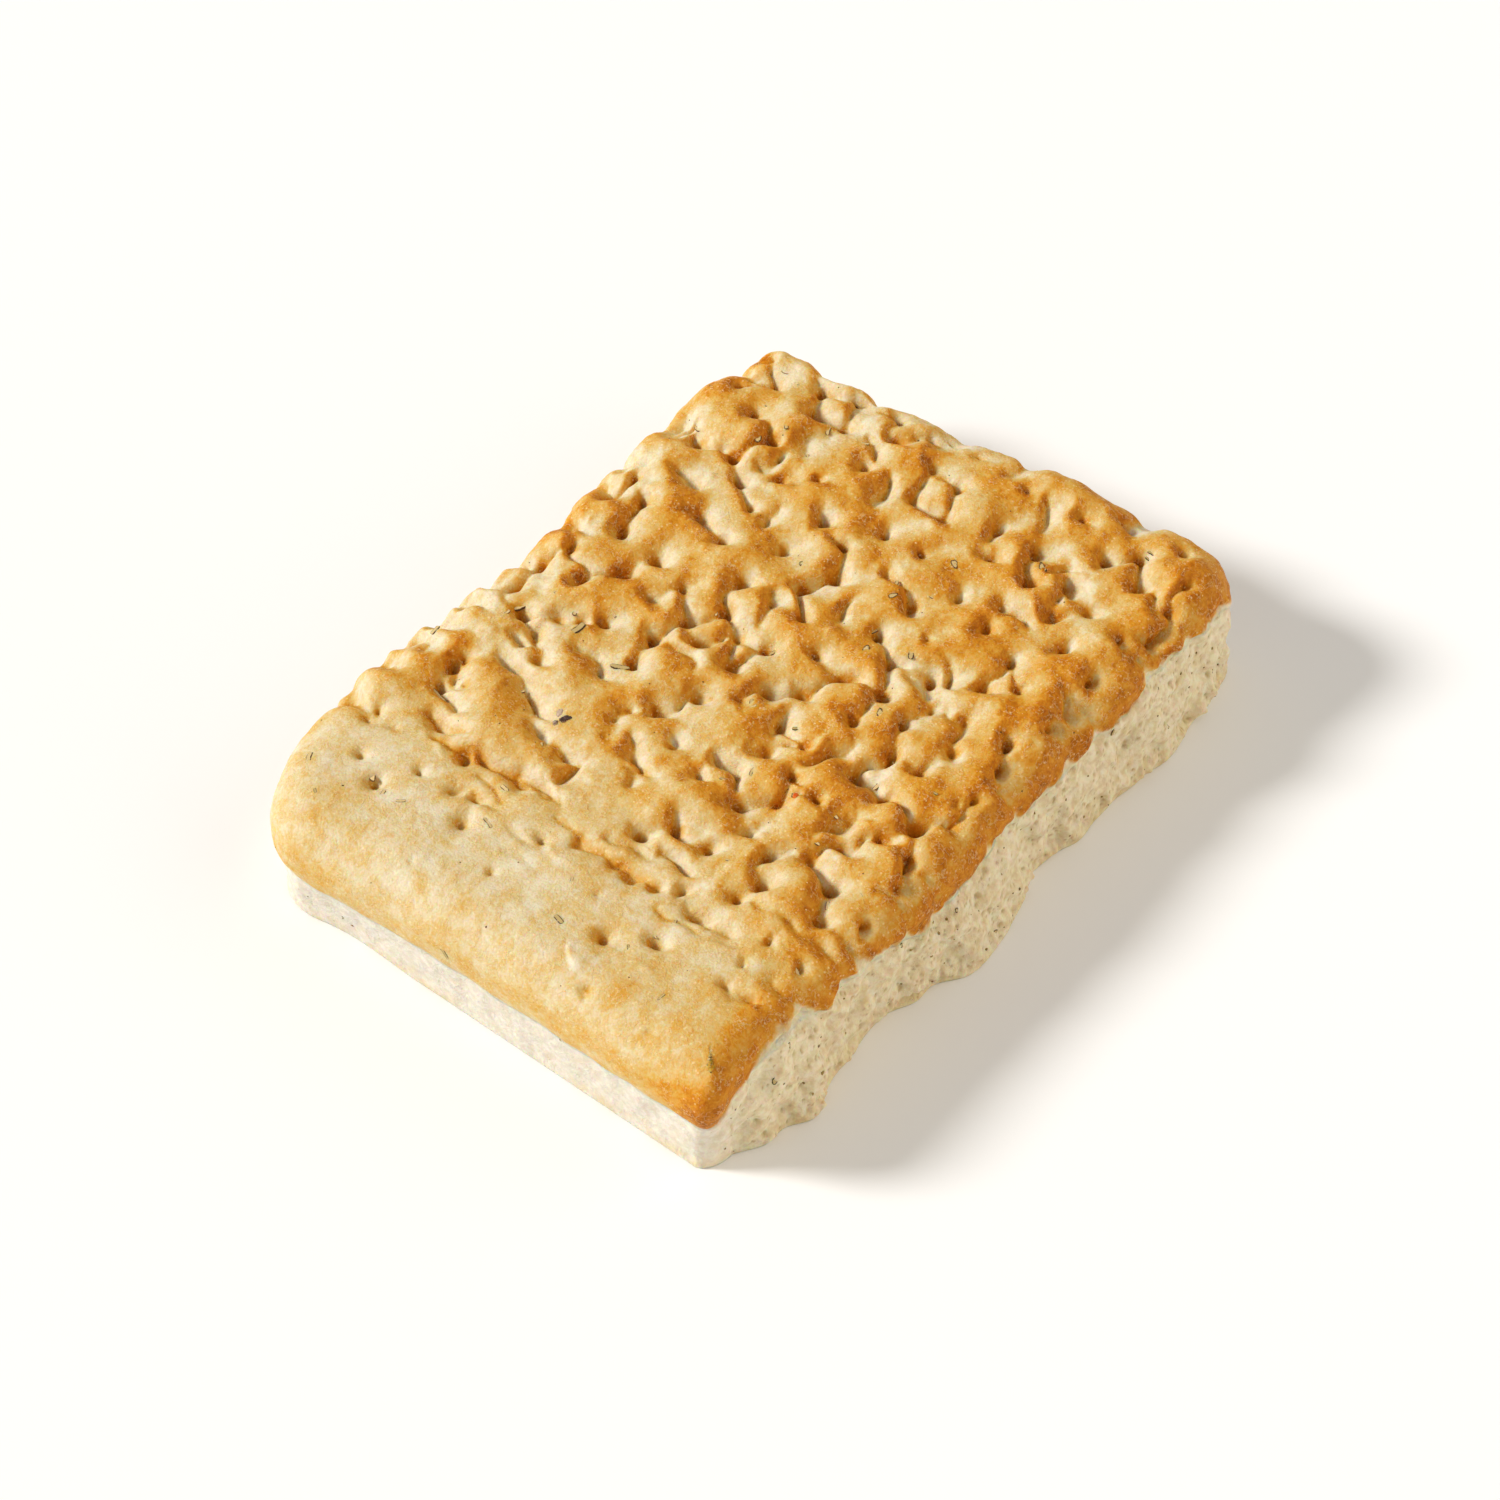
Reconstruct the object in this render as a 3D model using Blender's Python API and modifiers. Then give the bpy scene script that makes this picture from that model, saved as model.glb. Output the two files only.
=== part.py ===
"""An olive focaccia slab, broken from a tray bake.

The top is a browned crust, pinned down by docking pits, valleys and creases. One end is a smooth roll
with few pits. Under the crust's lower edge a pale band runs round the slab, and along the front side the
band is the torn crumb. Bits of herb and olive are baked into the crust. The slab is one solid.

X runs along the slab, Y across it, Z up. Lengths are in millimetres until the mesh is written in metres.
"""

import math

import bmesh
import bpy
import numpy as np
from mathutils import Matrix, Vector

MM = 0.001
NAME = "focaccia"

# Driving dimensions of the plain slab, before its edges swell and tear
HALF_LENGTH = 100.0
HALF_WIDTH = 71.0
HEIGHT = 37.0
SHOULDER = 10.5  # radius of the crust's upper edge
BOTTOM_EDGE = 1.2  # radius of the lower edge
WIDEST = HEIGHT - SHOULDER  # the height where the crust swells most
CROWN = 1.0  # how much higher the middle of the top is than its edges
CORNER_RADII = {(-1, -1): 5.0, (-1, 1): 19.5, (1, -1): 11.5, (1, 1): 9.5}
LIP = 6.0  # how far above its lower edge the crust has swollen to its full width

# The surface's unevenness, as (height, wavelength)
RAGGED = (0.6, 13.0)  # the front side's foot, where it was torn
SMOOTH_DENTS = (0.15, 24.0)  # the crust of the smooth end
DOCKED_DENTS = (0.35, 24.0)  # what the docked field has on top of that
DOCKED_RIPPLES = (0.16, 10.0)
BAND_LUMPS = (0.2, 9.0)  # the pale band under the crust
CRUMB_LUMPS = (0.5, 9.0)  # what the torn crumb has on top of that
CRUMB_PORES = (0.3, 4.5)
WANDER = (0.75, 10.0)  # how far folds and pits stray from plain lines and rounds

# The cage's cells, and how often they are halved before the slab is shaped
CAGE_CELL = 9.6
HALVINGS = 3
TRIANGLES = 9800  # what is left once flat stretches are thinned out

# The four edges, as (place along the edge, outward distance from the plain slab). "crust" is the widest
# line of the crust, "foot" the line where the slab meets the table, "notch" the height of the crust's
# lower edge, and "step" how far the band tucks in under it.
EDGES = {
    "left": {
        "crust": ((-70, 4.2), (20, 4.0), (65, 6.6)),
        "foot": ((-70, 1.4), (20, 0.6), (48, 0.5), (66, 4.8)),
        "notch": ((-66, 19.5), (-40, 18.5), (65, 18.0)),
        "step": 1.6,
    },
    "right": {
        "crust": ((-68, 2.0), (-46, 3.8), (-25, 2.0), (10, -3.2), (30, -5.0), (60, -8.8)),
        "foot": ((-68, 2.8), (-40, 1.6), (10, -4.4), (60, -11.5)),
        "notch": ((-66, 17.0), (60, 16.0)),
        "step": 3.0,
    },
    "front": {
        "crust": ((-98, -1.0), (-60, 0.2), (-20, 1.6), (15, 0.2), (60, 1.6), (95, 2.2)),
        "foot": (
            (-92, -4.6), (-82, 2.0), (-68, 4.2), (-61, 0.6), (-53, 0.0), (-38, 1.4), (-29, 3.2),
            (-19, 7.8), (-6, 8.6), (5, 4.6), (22, 2.8), (31, 4.6), (48, 3.9), (61, 6.6), (80, 4.2),
            (97, 3.0),
        ),
        "notch": (
            (-99, 19.0), (-94, 26.5), (-87, 29.5), (-79, 31.0), (-71, 30.5), (-62, 27.0), (-54, 28.0),
            (-45, 27.5), (-36, 24.5), (-28, 21.0), (-20, 21.5), (-10, 22.0), (0, 23.5), (6, 25.5),
            (14, 23.5), (24, 24.0), (32, 23.5), (45, 25.5), (54, 25.5), (61, 29.0), (69, 28.0),
            (92, 29.0),
        ),
        "step": 1.2,
    },
    "back": {
        "crust": (
            (-88, 1.4), (-68, 5.4), (-36, 7.0), (-18, 4.0), (-6, 2.2), (10, 1.0), (34, 4.2), (50, 2.6),
            (66, 1.6), (88, -4.0),
        ),
        "foot": ((-88, -1.0), (-60, 1.6), (0, -2.4), (50, -0.6), (88, -5.5)),
        "notch": ((-88, 18.0), (0, 17.0), (88, 17.0)),
        "step": 2.4,
    },
}

# Creases and valleys of the crust: from x, y to x, y, depth and width
VALLEYS = (
    # long creases that part the smooth end from the docked field
    (-67, 67, -65.6, 56.5, 3.0, 2.0), (-58.8, 52.5, -58, 41.5, 3.4, 2.0), (-60.5, 34, -60, 23, 4.0, 2.2),
    (-60, 23, -59.3, 14, 4.0, 2.2), (-72, 28, -69.5, 21.5, 1.8, 1.4), (-68, -1.5, -66.5, -8, 2.2, 1.6),
    (-60.5, -5.5, -59, -16, 2.8, 1.6), (-57.2, -16.7, -55, -30, 3.2, 1.8),
    (-64.5, -33.5, -67.5, -39, 3.8, 2.0), (-67.5, -39, -64.9, -48.5, 2.4, 1.6),
    (-55, -45, -55, -67, 2.4, 1.6), (-78.2, -53, -78, -62, 3.0, 1.6),
    # deep folds under the far and right sides of the big pillows
    (-51, 57.5, -52, 46.3, 3.8, 2.2), (-33, 51.5, -36, 43, 3.4, 2.2), (-36, 43, -41.2, 31, 4.0, 2.2),
    (-45.5, 31, -49, 24.5, 3.4, 2.0), (-48, 22, -48.5, 15.3, 4.0, 2.2), (-48.5, 15.3, -55, 15.4, 4.0, 2.2),
    (-35.5, 10, -39.5, 1.5, 4.6, 2.2), (-39.5, 1.5, -45, 2.2, 3.8, 2.0), (-8, 20, -8.3, 11, 3.6, 2.0),
    (-20, 38, -23.5, 25, 4.0, 2.2), (-38, 15.5, -30, 17.5, 3.0, 2.0), (-26.5, 52, -26.5, 47.5, 3.4, 1.8),
    (-14.5, 47, -12, 40, 3.4, 1.8), (-26, -10, -29.5, -18.5, 4.4, 2.0), (-33.5, -7, -35, -12, 3.6, 1.8),
    (-41.5, -27, -36, -29.5, 4.8, 2.4), (-29, -42, -19, -46, 4.8, 3.0), (-14, -28, -4, -33, 4.4, 2.8),
    (12, 8, 22, 12, 4.2, 2.4), (53.5, 41, 71, 35, 4.6, 2.8), (62, 12, 70, 14, 4.2, 2.4),
    (72, 17, 79, 27.5, 2.8, 2.2), (40, 56, 38, 49, 4.2, 2.6), (54.5, -26, 51.5, -40, 4.2, 2.2),
    (31, -35, 25.5, -40, 4.4, 2.4), (80, -26, 89, -22, 3.0, 2.0), (50, 65, 60, 63, 3.0, 2.4),
    (38.5, -62, 36, -68, 3.4, 2.0), (69, -35, 75, -41, 3.2, 2.0), (45, 29, 37, 27, 3.4, 2.2),
    (22, -4, 32, -5, 3.6, 2.2),
)

# The plainest of the docking pits: x, y, depth
PITS = (
    # scattered over the smooth end
    (-78, 56.5, 1.6), (-82, 48.5, 2.2), (-73.7, 42.2, 1.4), (-73.2, 32.7, 1.8), (-79, 25, 2.6),
    (-86, 9.5, 0.8), (-71.4, 6.5, 1.8), (-67.5, -15, 2.4), (-66.5, -22, 2.2), (-78, -32, 2.8),
    (-69.3, -51.5, 1.4), (-62, -52.5, 1.8), (-84.5, -22.5, 2.6),
    # the docked field, left half
    (-63.2, 37.2, 3.0), (-64, 63.5, 2.6), (-49, 57, 3.0), (-43, 59, 4.0), (-39, 57.5, 2.0),
    (-45.5, 52, 2.6), (-29.9, 43.4, 3.0), (-23.2, 48.7, 2.0), (-20, 57, 4.0), (-15.5, 48, 3.0),
    (-10, 39.7, 3.8), (-2.5, 53, 4.0), (-6.5, 27, 3.8), (-16.5, 25, 3.2), (-29.9, 17.7, 2.2),
    (-23.5, 11.5, 3.8), (-15, 6, 3.8), (-30.5, 1, 3.4), (-55.6, -9.5, 3.6), (-62, -28, 2.8),
    (-48.6, -24, 3.6), (-17.5, -16.5, 4.0), (-55.8, -38.5, 3.4), (-50, -41, 3.6), (-42.5, -37, 3.4),
    (-49.5, -57, 3.8), (-40.5, -53, 3.6), (-11.5, -47, 3.8), (-14.5, -57.5, 4.2), (-43, -67, 4.0),
    (-30.5, -66.5, 3.6),
    # the docked field, right half
    (17, 55.5, 4.2), (13.5, 42.5, 4.4), (31, 42.5, 4.0), (27.5, 32.5, 3.8), (20, 21, 4.2), (48, 18, 4.2),
    (66.5, 53.5, 3.6), (83, 45.5, 3.6), (87, 35.5, 3.2), (69, 21, 3.6), (35.7, 4.7, 3.8),
    (63, -22, 3.2), (78.6, -54.6, 3.8), (47.5, -64, 3.6), (69, -68, 3.8), (12.5, -63, 3.6),
    (65, -49.5, 3.6), (13, -27, 3.6), (45, -34.5, 3.8), (20, -59.5, 3.6), (40, -16, 3.6), (11.5, -17, 3.4),
)

# The plainest of the raised pillows: x, y, half length, half width, heading in degrees, rise
PILLOWS = (
    (-54, 30, 13, 6.5, 90, 1.4), (-31, 39, 13, 6, 72, 1.2), (-42, 48, 8, 5, 60, 1.0),
    (-44, -14, 9, 8, 0, 1.4), (-24, -35, 11, 7, -10, 1.4), (-3, -24, 8, 8, 30, 1.4),
    (15, 14, 7, 7, 0, 1.3), (62, 45, 13, 6, -15, 1.5), (56, 57, 9, 5, 0, 1.2), (-22, -66, 9, 7, 0, 1.3),
    (43, 9, 8, 6, 30, 1.2), (63, -40, 9, 6, 50, 1.2), (44, -57, 9, 6, 20, 1.1),
    (-8, -53, 10, 5, 0, 1.2), (24, 50, 8, 5, 20, 1.0), (-15, 19, 7, 8, 60, 1.2),
    (69, -24, 8, 9, 60, 1.3), (-48, -47, 9, 6, 20, 1.2),
)

# Folds that run over the rounded edge and scallop it: depth, width and their places along the edge
FOLDS = {
    "back": (5.2, 1.9, (-65, -51, -41, -32, -24, -15, -5, 10, 26, 36, 52, 77)),
    "right": (4.4, 1.9, (48, 33, 10, -10, -42)),
    "front": (2.4, 1.3, (-70, -50, -34, -24, -2, 9, 30, 41, 61, 76)),
}
FOLD_STEPS = ((10.0, HEIGHT), (4.0, HEIGHT - 3.0), (0.5, WIDEST), (0.0, WIDEST - 6.0))  # inset, height

# The rest of the pits fall by chance, no nearer to each other than PIT_GAP
SEED = 7
DARTS = 6000
PIT_GAP = 8.7
VALLEY_GAP = 5.5
SMOOTH_END = -64.0  # the docked field starts here
BIG_PILLOWS = (-14.0, -12.0)  # left of this x and beyond this y there are only the named pits
CHANCE_DEPTHS = (2.0, 4.4)

# How the crust dips round a pit: a wide funnel, a sharp point, and a creased saddle to the nearest pits
FUNNEL = 1.35
FUNNEL_SHARE = 1.1
FULL_PIT = 3.4  # a shallower pit is narrower too
POINT = 1.0
POINT_SHARE = 0.6
SADDLE = 1.15
SADDLE_SHARE = 0.85
CREASE = 0.8
CREASE_SHARE = 0.28
VALLEY_CREASE_SHARE = 0.36
SADDLE_REACH = 11.0
VALLEY_ENDS = 0.45  # how much shallower a valley is at its ends
MERGE_POWER = 2.6  # how sharply neighbouring dips take over from each other
LEAN = 0.45  # how much steeper than round the dips are on their steep side
STEEP_SIDE = (-0.62, 0.78, 0.0)

# Bits baked into the crust: x, y, heading in degrees, length, width
HERBS = (
    (-87, -12, 75, 3.0, 1.4), (-75, 19, 70, 3.6, 0.9), (-65, 23, 80, 2.6, 1.2), (-64, -63, 60, 4.2, 1.2),
    (-51, 55, 75, 5.0, 1.2), (-18, 58, -25, 4.6, 1.8), (-16, 41, -5, 4.2, 1.8), (-19, 26, 115, 5.0, 1.5),
    (-86, 65, 30, 3.4, 1.4), (-81, 50, 60, 3.2, 1.6), (-36, 69, 10, 3.4, 1.2), (53, 66, 40, 4.0, 1.0),
    (73, 35, 25, 3.0, 1.1), (87, 36, 80, 3.4, 1.4), (59, 46, 40, 3.4, 1.8), (9, 1, -10, 3.6, 1.0),
    (42, -10, 20, 2.8, 1.0), (21, -17, 10, 2.8, 1.6), (56, -17, 50, 3.0, 1.6), (27, -26, 30, 3.2, 1.4),
    (7, -32, 40, 2.8, 1.6), (69, -34, 60, 3.2, 1.6), (-8, -43, 5, 3.4, 1.1), (-24, -31, 15, 2.8, 1.8),
    (-39, 27, -35, 5.0, 2.6), (-9, -6, 35, 2.6, 0.9), (-25, -19, 10, 3.0, 0.9), (-44, -56, 30, 2.6, 0.9),
)
SIDE_HERB = (-103.4, 8.6, 26.0, 78, 4.4, 1.3)  # one on the left face: x, y, z, heading, length, width
HERB_THICKNESS = 0.8
HERB_SUNK = 0.1  # how far its middle lies under the crust


def through(pairs, along):
    """The smooth line through (place, value) pairs, read at each place in along."""
    places = np.array([place for place, _ in pairs], float)
    values = np.array([value for _, value in pairs], float)
    slopes = np.gradient(values, places)
    at = np.clip(along, places[0], places[-1])
    i = np.clip(np.searchsorted(places, at) - 1, 0, len(places) - 2)
    span = places[i + 1] - places[i]
    t = (at - places[i]) / span
    return (
        (1 + 2 * t) * (1 - t) ** 2 * values[i]
        + t * (1 - t) ** 2 * span * slopes[i]
        + t * t * (3 - 2 * t) * values[i + 1]
        - t * t * (1 - t) * span * slopes[i + 1]
    )


def step(low, high, x):
    """0 below low, 1 above high, and a smooth rise between."""
    t = np.clip((x - low) / (high - low), 0, 1)
    return t * t * (3 - 2 * t)


def waves(points, size, seed, count=48):
    """Smooth noise of a given (height, wavelength), made of plane waves."""
    height, length = size
    rng = np.random.default_rng(seed)
    headings = rng.normal(size=(count, 3))
    headings /= np.linalg.norm(headings, axis=1)[:, None]
    numbers = 2 * math.pi / length * rng.uniform(0.65, 1.4, count)
    phases = rng.uniform(0, 2 * math.pi, count)
    total = np.zeros(len(points))
    for heading, number, phase in zip(headings, numbers, phases):
        total += np.cos(points @ heading * number + phase)
    return total * height * math.sqrt(2 / count)


def swell(kind, along, z):
    """How far an edge stands out from the plain slab at each height."""
    edge = EDGES[kind]
    crust = through(edge["crust"], along)
    foot = through(edge["foot"], along)
    notch = through(edge["notch"], along)
    under = crust - edge["step"]
    above = np.clip((z - notch) / LIP, 0, 1)
    below = np.clip(z / notch, 0, 1)
    upper = crust - edge["step"] * (1 - above) ** 2
    lower = foot + (under - foot) * below**1.4
    return np.where(z > notch, upper, lower)


def end_weight(u, v):
    """1 by the left and right ends, 0 by the front and back, and a mix at the corners."""
    across, along = np.abs(u) ** 20, np.abs(v) ** 20
    return across / (across + along + 1e-9)


def notch_height(x, y):
    """The height of the crust's lower edge on the side nearest to each point."""
    u, v = x / HALF_LENGTH, y / HALF_WIDTH
    ends = np.where(u < 0, through(EDGES["left"]["notch"], y), through(EDGES["right"]["notch"], y))
    sides = np.where(v < 0, through(EDGES["front"]["notch"], x), through(EDGES["back"]["notch"], x))
    weight = end_weight(u, v)
    return weight * ends + (1 - weight) * sides


def round_corners(x, y):
    """Squares off to arcs: the plan of the plain slab, with a radius of its own at each corner."""
    x, y = x.copy(), y.copy()
    for (side_x, side_y), radius in CORNER_RADII.items():
        over_x = np.clip((side_x * x - HALF_LENGTH) / radius + 1, 0, 1)
        over_y = np.clip((side_y * y - HALF_WIDTH) / radius + 1, 0, 1)
        x -= side_x * radius * over_x * (1 - np.sqrt(1 - over_y**2 / 2))
        y -= side_y * radius * over_y * (1 - np.sqrt(1 - over_x**2 / 2))
    return x, y


def from_edge(x, y):
    """The distance in from the plain slab's rounded plan, and the direction out to it."""
    radius = np.zeros(len(x))
    for (side_x, side_y), size in CORNER_RADII.items():
        radius = np.where((side_x * x >= 0) & (side_y * y >= 0), size, radius)
    over_x = np.abs(x) - HALF_LENGTH + radius
    over_y = np.abs(y) - HALF_WIDTH + radius
    corner = np.hypot(np.maximum(over_x, 0), np.maximum(over_y, 0))
    inside = np.minimum(np.maximum(over_x, over_y), 0)
    safe = np.maximum(corner, 1e-9)
    by_x = over_x > over_y
    out_x = np.where(corner > 0, np.maximum(over_x, 0) / safe, by_x)
    out_y = np.where(corner > 0, np.maximum(over_y, 0) / safe, ~by_x)
    distance = np.maximum(radius - corner - inside, 0)
    return distance, out_x * np.sign(x), out_y * np.sign(y)


def round_edge(points, radius, top):
    """Rolls the slab's upper or lower edge over to a quarter round."""
    x, y, z = points.T
    distance, out_x, out_y = from_edge(x, y)
    level = z - (HEIGHT - radius) if top else radius - z
    rise = np.clip(level / radius, 0, 1)
    near = np.clip(1 - distance / radius, 0, 1)
    inward = radius * near * (1 - np.sqrt(1 - rise**2 / 2))
    drop = radius * rise * (1 - np.sqrt(1 - near**2 / 2))
    return np.stack([x - out_x * inward, y - out_y * inward, z - drop if top else z + drop], 1)


def plain_slab(box):
    """The slab with its rounded, swollen and torn edges, but a crust without pits."""
    x, y = round_corners(box[:, 0], box[:, 1])
    points = np.stack([x, y, box[:, 2]], 1)
    points = round_edge(points, SHOULDER, top=True)
    points = round_edge(points, BOTTOM_EDGE, top=False)
    x, y, z = points.T
    u, v = x / HALF_LENGTH, y / HALF_WIDTH
    ends = np.where(u < 0, swell("left", y, z), swell("right", y, z))
    torn = waves(np.stack([x, 0 * x, 0.3 * z], 1), RAGGED, 31) * (1 - step(0, WIDEST, z))
    sides = np.where(v < 0, swell("front", x, z) + torn, swell("back", x, z))
    crown = CROWN * ((1 - u**2) * (1 - v**2) - 0.5) * z / HEIGHT
    return np.stack([x + u * np.abs(u) ** 5 * ends, y + v * np.abs(v) ** 5 * sides, z + crown], 1)


def upper_side():
    """The plain slab's upper side, as points a millimetre apart."""
    x, y = np.meshgrid(np.arange(-HALF_LENGTH, HALF_LENGTH + 1), np.arange(-HALF_WIDTH, HALF_WIDTH + 1))
    return plain_slab(np.stack([x.ravel(), y.ravel(), np.full(x.size, HEIGHT)], 1))


def on_crust(upper, x, y):
    """The place (x, y) at the height of the upper side."""
    nearest = np.argmin(np.hypot(upper[:, 0] - x, upper[:, 1] - y))
    return np.array((x, y, upper[nearest, 2]))


def chance_pits():
    """Pits by chance over the docked field, spaced evenly between those that are named."""
    rng = np.random.default_rng(SEED)
    taken = [pit[:2] for pit in PITS]
    for x0, y0, x1, y1, _, _ in VALLEYS:
        steps = max(2, round(math.hypot(x1 - x0, y1 - y0) / 3))
        taken += [(x0 + (x1 - x0) * i / steps, y0 + (y1 - y0) * i / steps) for i in range(steps + 1)]
    named = len(PITS)
    pits = []
    for _ in range(DARTS):
        x = rng.uniform(SMOOTH_END, HALF_LENGTH)
        y = rng.uniform(-HALF_WIDTH, HALF_WIDTH)
        depth = rng.uniform(*CHANCE_DEPTHS)
        gap = PIT_GAP * rng.uniform(0.9, 1.25)
        right = HALF_LENGTH + through(EDGES["right"]["crust"], y) - 7
        if x > right or y < 5 - HALF_WIDTH or y > HALF_WIDTH - 4:
            continue
        if x < BIG_PILLOWS[0] and y > BIG_PILLOWS[1]:
            continue
        apart = np.hypot(*(np.array(taken) - (x, y)).T)
        near_valley = apart[named : len(taken) - len(pits)].min()
        near_pit = min(apart[:named].min(), apart[len(taken) - len(pits) :].min(initial=99))
        if near_pit > gap and near_valley > VALLEY_GAP:
            pits.append((x, y, depth))
            taken.append((x, y))
    return pits


def edge_folds():
    """The folds over the crust's rounded edge, as straight runs: start, end, depth and width."""
    runs = []
    for kind, (depth, width, places) in FOLDS.items():
        for place in places:
            reach = float(through(EDGES[kind]["crust"], place))
            if kind == "right":
                row = [(HALF_LENGTH + reach - inset, place, z) for inset, z in FOLD_STEPS]
            else:
                side = 1 if kind == "back" else -1
                row = [(place, side * (HALF_WIDTH + reach - inset), z) for inset, z in FOLD_STEPS]
            row = np.array(row)
            runs += [(start, end, depth, width) for start, end in zip(row, row[1:])]
    return runs


def saddles(pits, depths):
    """Each pit of the docked field joined to its two nearest neighbours: pairs of ends, with mean depth."""
    apart = np.linalg.norm(pits[:, None] - pits[None], axis=2)
    np.fill_diagonal(apart, math.inf)
    pairs = set()
    for i, row in enumerate(apart):
        for j in np.argsort(row)[:2]:
            docked = min(pits[i][0], pits[j][0]) > SMOOTH_END + 2
            if docked and row[j] < SADDLE_REACH:
                pairs.add((min(i, int(j)), max(i, int(j))))
    return [(pits[i], pits[j], (depths[i] + depths[j]) / 2) for i, j in sorted(pairs)]


def leaning(offsets):
    """How long offsets from the middle of a dip are, counted longer towards its steep side."""
    return np.linalg.norm(offsets, axis=1) + LEAN * offsets @ STEEP_SIDE


def beside(points, start, end):
    """How far each point is from the straight line between start and end, and how far along it, 0 to 1."""
    along = end - start
    t = np.clip((points - start) @ along / (along @ along), 0, 1)
    return leaning(points - start - t[:, None] * along), t


def dip(distance, size):
    """1 at no distance, falling off as a soft funnel."""
    q = distance / size
    return (1 + q) * np.exp(-q)


def pillow_rise(x, y):
    """How far the raised pillows lift the crust."""
    rise = np.zeros(len(x))
    for at_x, at_y, length, width, heading, height in PILLOWS:
        cos, sin = math.cos(math.radians(heading)), math.sin(math.radians(heading))
        along = ((x - at_x) * cos + (y - at_y) * sin) / length
        across = ((y - at_y) * cos - (x - at_x) * sin) / width
        rise += height * np.exp(-(along**2 + across**2) ** 1.5)
    return rise


def crust_dips(points):
    """How deep pits, valleys and folds pin each point of the crust, as a soft and a sharp part."""
    upper = upper_side()
    scattered = list(PITS) + chance_pits()
    pits = np.array([on_crust(upper, x, y) for x, y, _ in scattered])
    depths = np.array([depth for _, _, depth in scattered])
    moved = points + np.stack([waves(points, WANDER, seed) for seed in (3, 4, 5)], 1)
    wide = np.zeros(len(points))
    sharp = np.zeros(len(points))
    for pit, depth in zip(pits, depths):
        size = FUNNEL * min(1, depth / FULL_PIT)
        wide += (FUNNEL_SHARE * depth * dip(leaning(moved - pit), size)) ** MERGE_POWER
        sharp += POINT_SHARE * depth * np.exp(-leaning(points - pit) / POINT)
    for start, end, depth, width in edge_folds():
        wide += (depth * dip(beside(moved, start, end)[0], width)) ** MERGE_POWER / 2
    for start, end, depth in saddles(pits, depths):
        away = beside(moved, start, end)[0]
        wide += (SADDLE_SHARE * depth * dip(away, SADDLE)) ** MERGE_POWER
        sharp += CREASE_SHARE * depth * np.exp(-away / CREASE)
    for x0, y0, x1, y1, depth, width in VALLEYS:
        away, t = beside(moved, on_crust(upper, x0, y0), on_crust(upper, x1, y1))
        local = depth * (1 - VALLEY_ENDS * (2 * t - 1) ** 2)
        wide += (local * dip(away, 0.65 * width)) ** MERGE_POWER
        sharp += VALLEY_CREASE_SHARE * local * np.exp(-away / CREASE)
    return wide ** (1 / MERGE_POWER), sharp


def shape(box, normals_of):
    """The finished surface for points on the box: the plain slab, its crust pinned and its crumb torn."""
    plain = plain_slab(box)
    normals = normals_of(plain)
    x, y, z = plain.T
    notch = notch_height(x, y)
    side = 1 - np.abs(normals[:, 2])
    crust = z > notch - 1
    fade = step(notch - 1, notch + 6, z)
    inward = np.zeros(len(box))
    docked = step(SMOOTH_END - 6, SMOOTH_END + 4, x)
    inward[crust] += sum(crust_dips(plain[crust])) * fade[crust]
    inward -= fade * pillow_rise(x, y)
    inward -= fade * waves(plain, SMOOTH_DENTS, 11)
    inward -= fade * docked * (waves(plain, DOCKED_DENTS, 11) + waves(plain, DOCKED_RIPPLES, 12))
    torn = (1 - end_weight(x / HALF_LENGTH, y / HALF_WIDTH)) * (y < 0)
    band = (1 - fade) * side * step(0.5, 3, z)
    inward -= band * waves(plain, BAND_LUMPS, 21)
    inward -= band * torn * (waves(plain, CRUMB_LUMPS, 21) + waves(plain, CRUMB_PORES, 22))
    points = plain - normals * inward[:, None]
    points[:, 2] = np.where(box[:, 2] <= 0, 0, np.maximum(points[:, 2], 0))
    return points


def coordinates(mesh):
    flat = np.empty(len(mesh.vertices) * 3, np.float32)
    mesh.vertices.foreach_get("co", flat)
    return flat.reshape(-1, 3).astype(float)


def vertex_normals(mesh):
    flat = np.empty(len(mesh.vertices) * 3, np.float32)
    mesh.vertices.foreach_get("normal", flat)
    return flat.reshape(-1, 3).astype(float)


def set_coordinates(mesh, points):
    mesh.vertices.foreach_set("co", points.astype(np.float32).ravel())
    mesh.update()


def baked(obj):
    """A new mesh as the object's modifiers leave it."""
    graph = bpy.context.evaluated_depsgraph_get()
    return bpy.data.meshes.new_from_object(obj.evaluated_get(graph))


def clear_scene():
    for obj in list(bpy.data.objects):
        bpy.data.objects.remove(obj, do_unlink=True)


def new_collection(name):
    collection = bpy.data.collections.new(name)
    bpy.context.scene.collection.children.link(collection)
    return collection


def crust_material():
    material = bpy.data.materials.new("baked_bread")
    material.use_nodes = True
    shader = material.node_tree.nodes["Principled BSDF"]
    shader.inputs["Base Color"].default_value = (0.66, 0.38, 0.13, 1.0)
    shader.inputs["Roughness"].default_value = 0.6
    shader.inputs["Metallic"].default_value = 0.0
    return material


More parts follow.
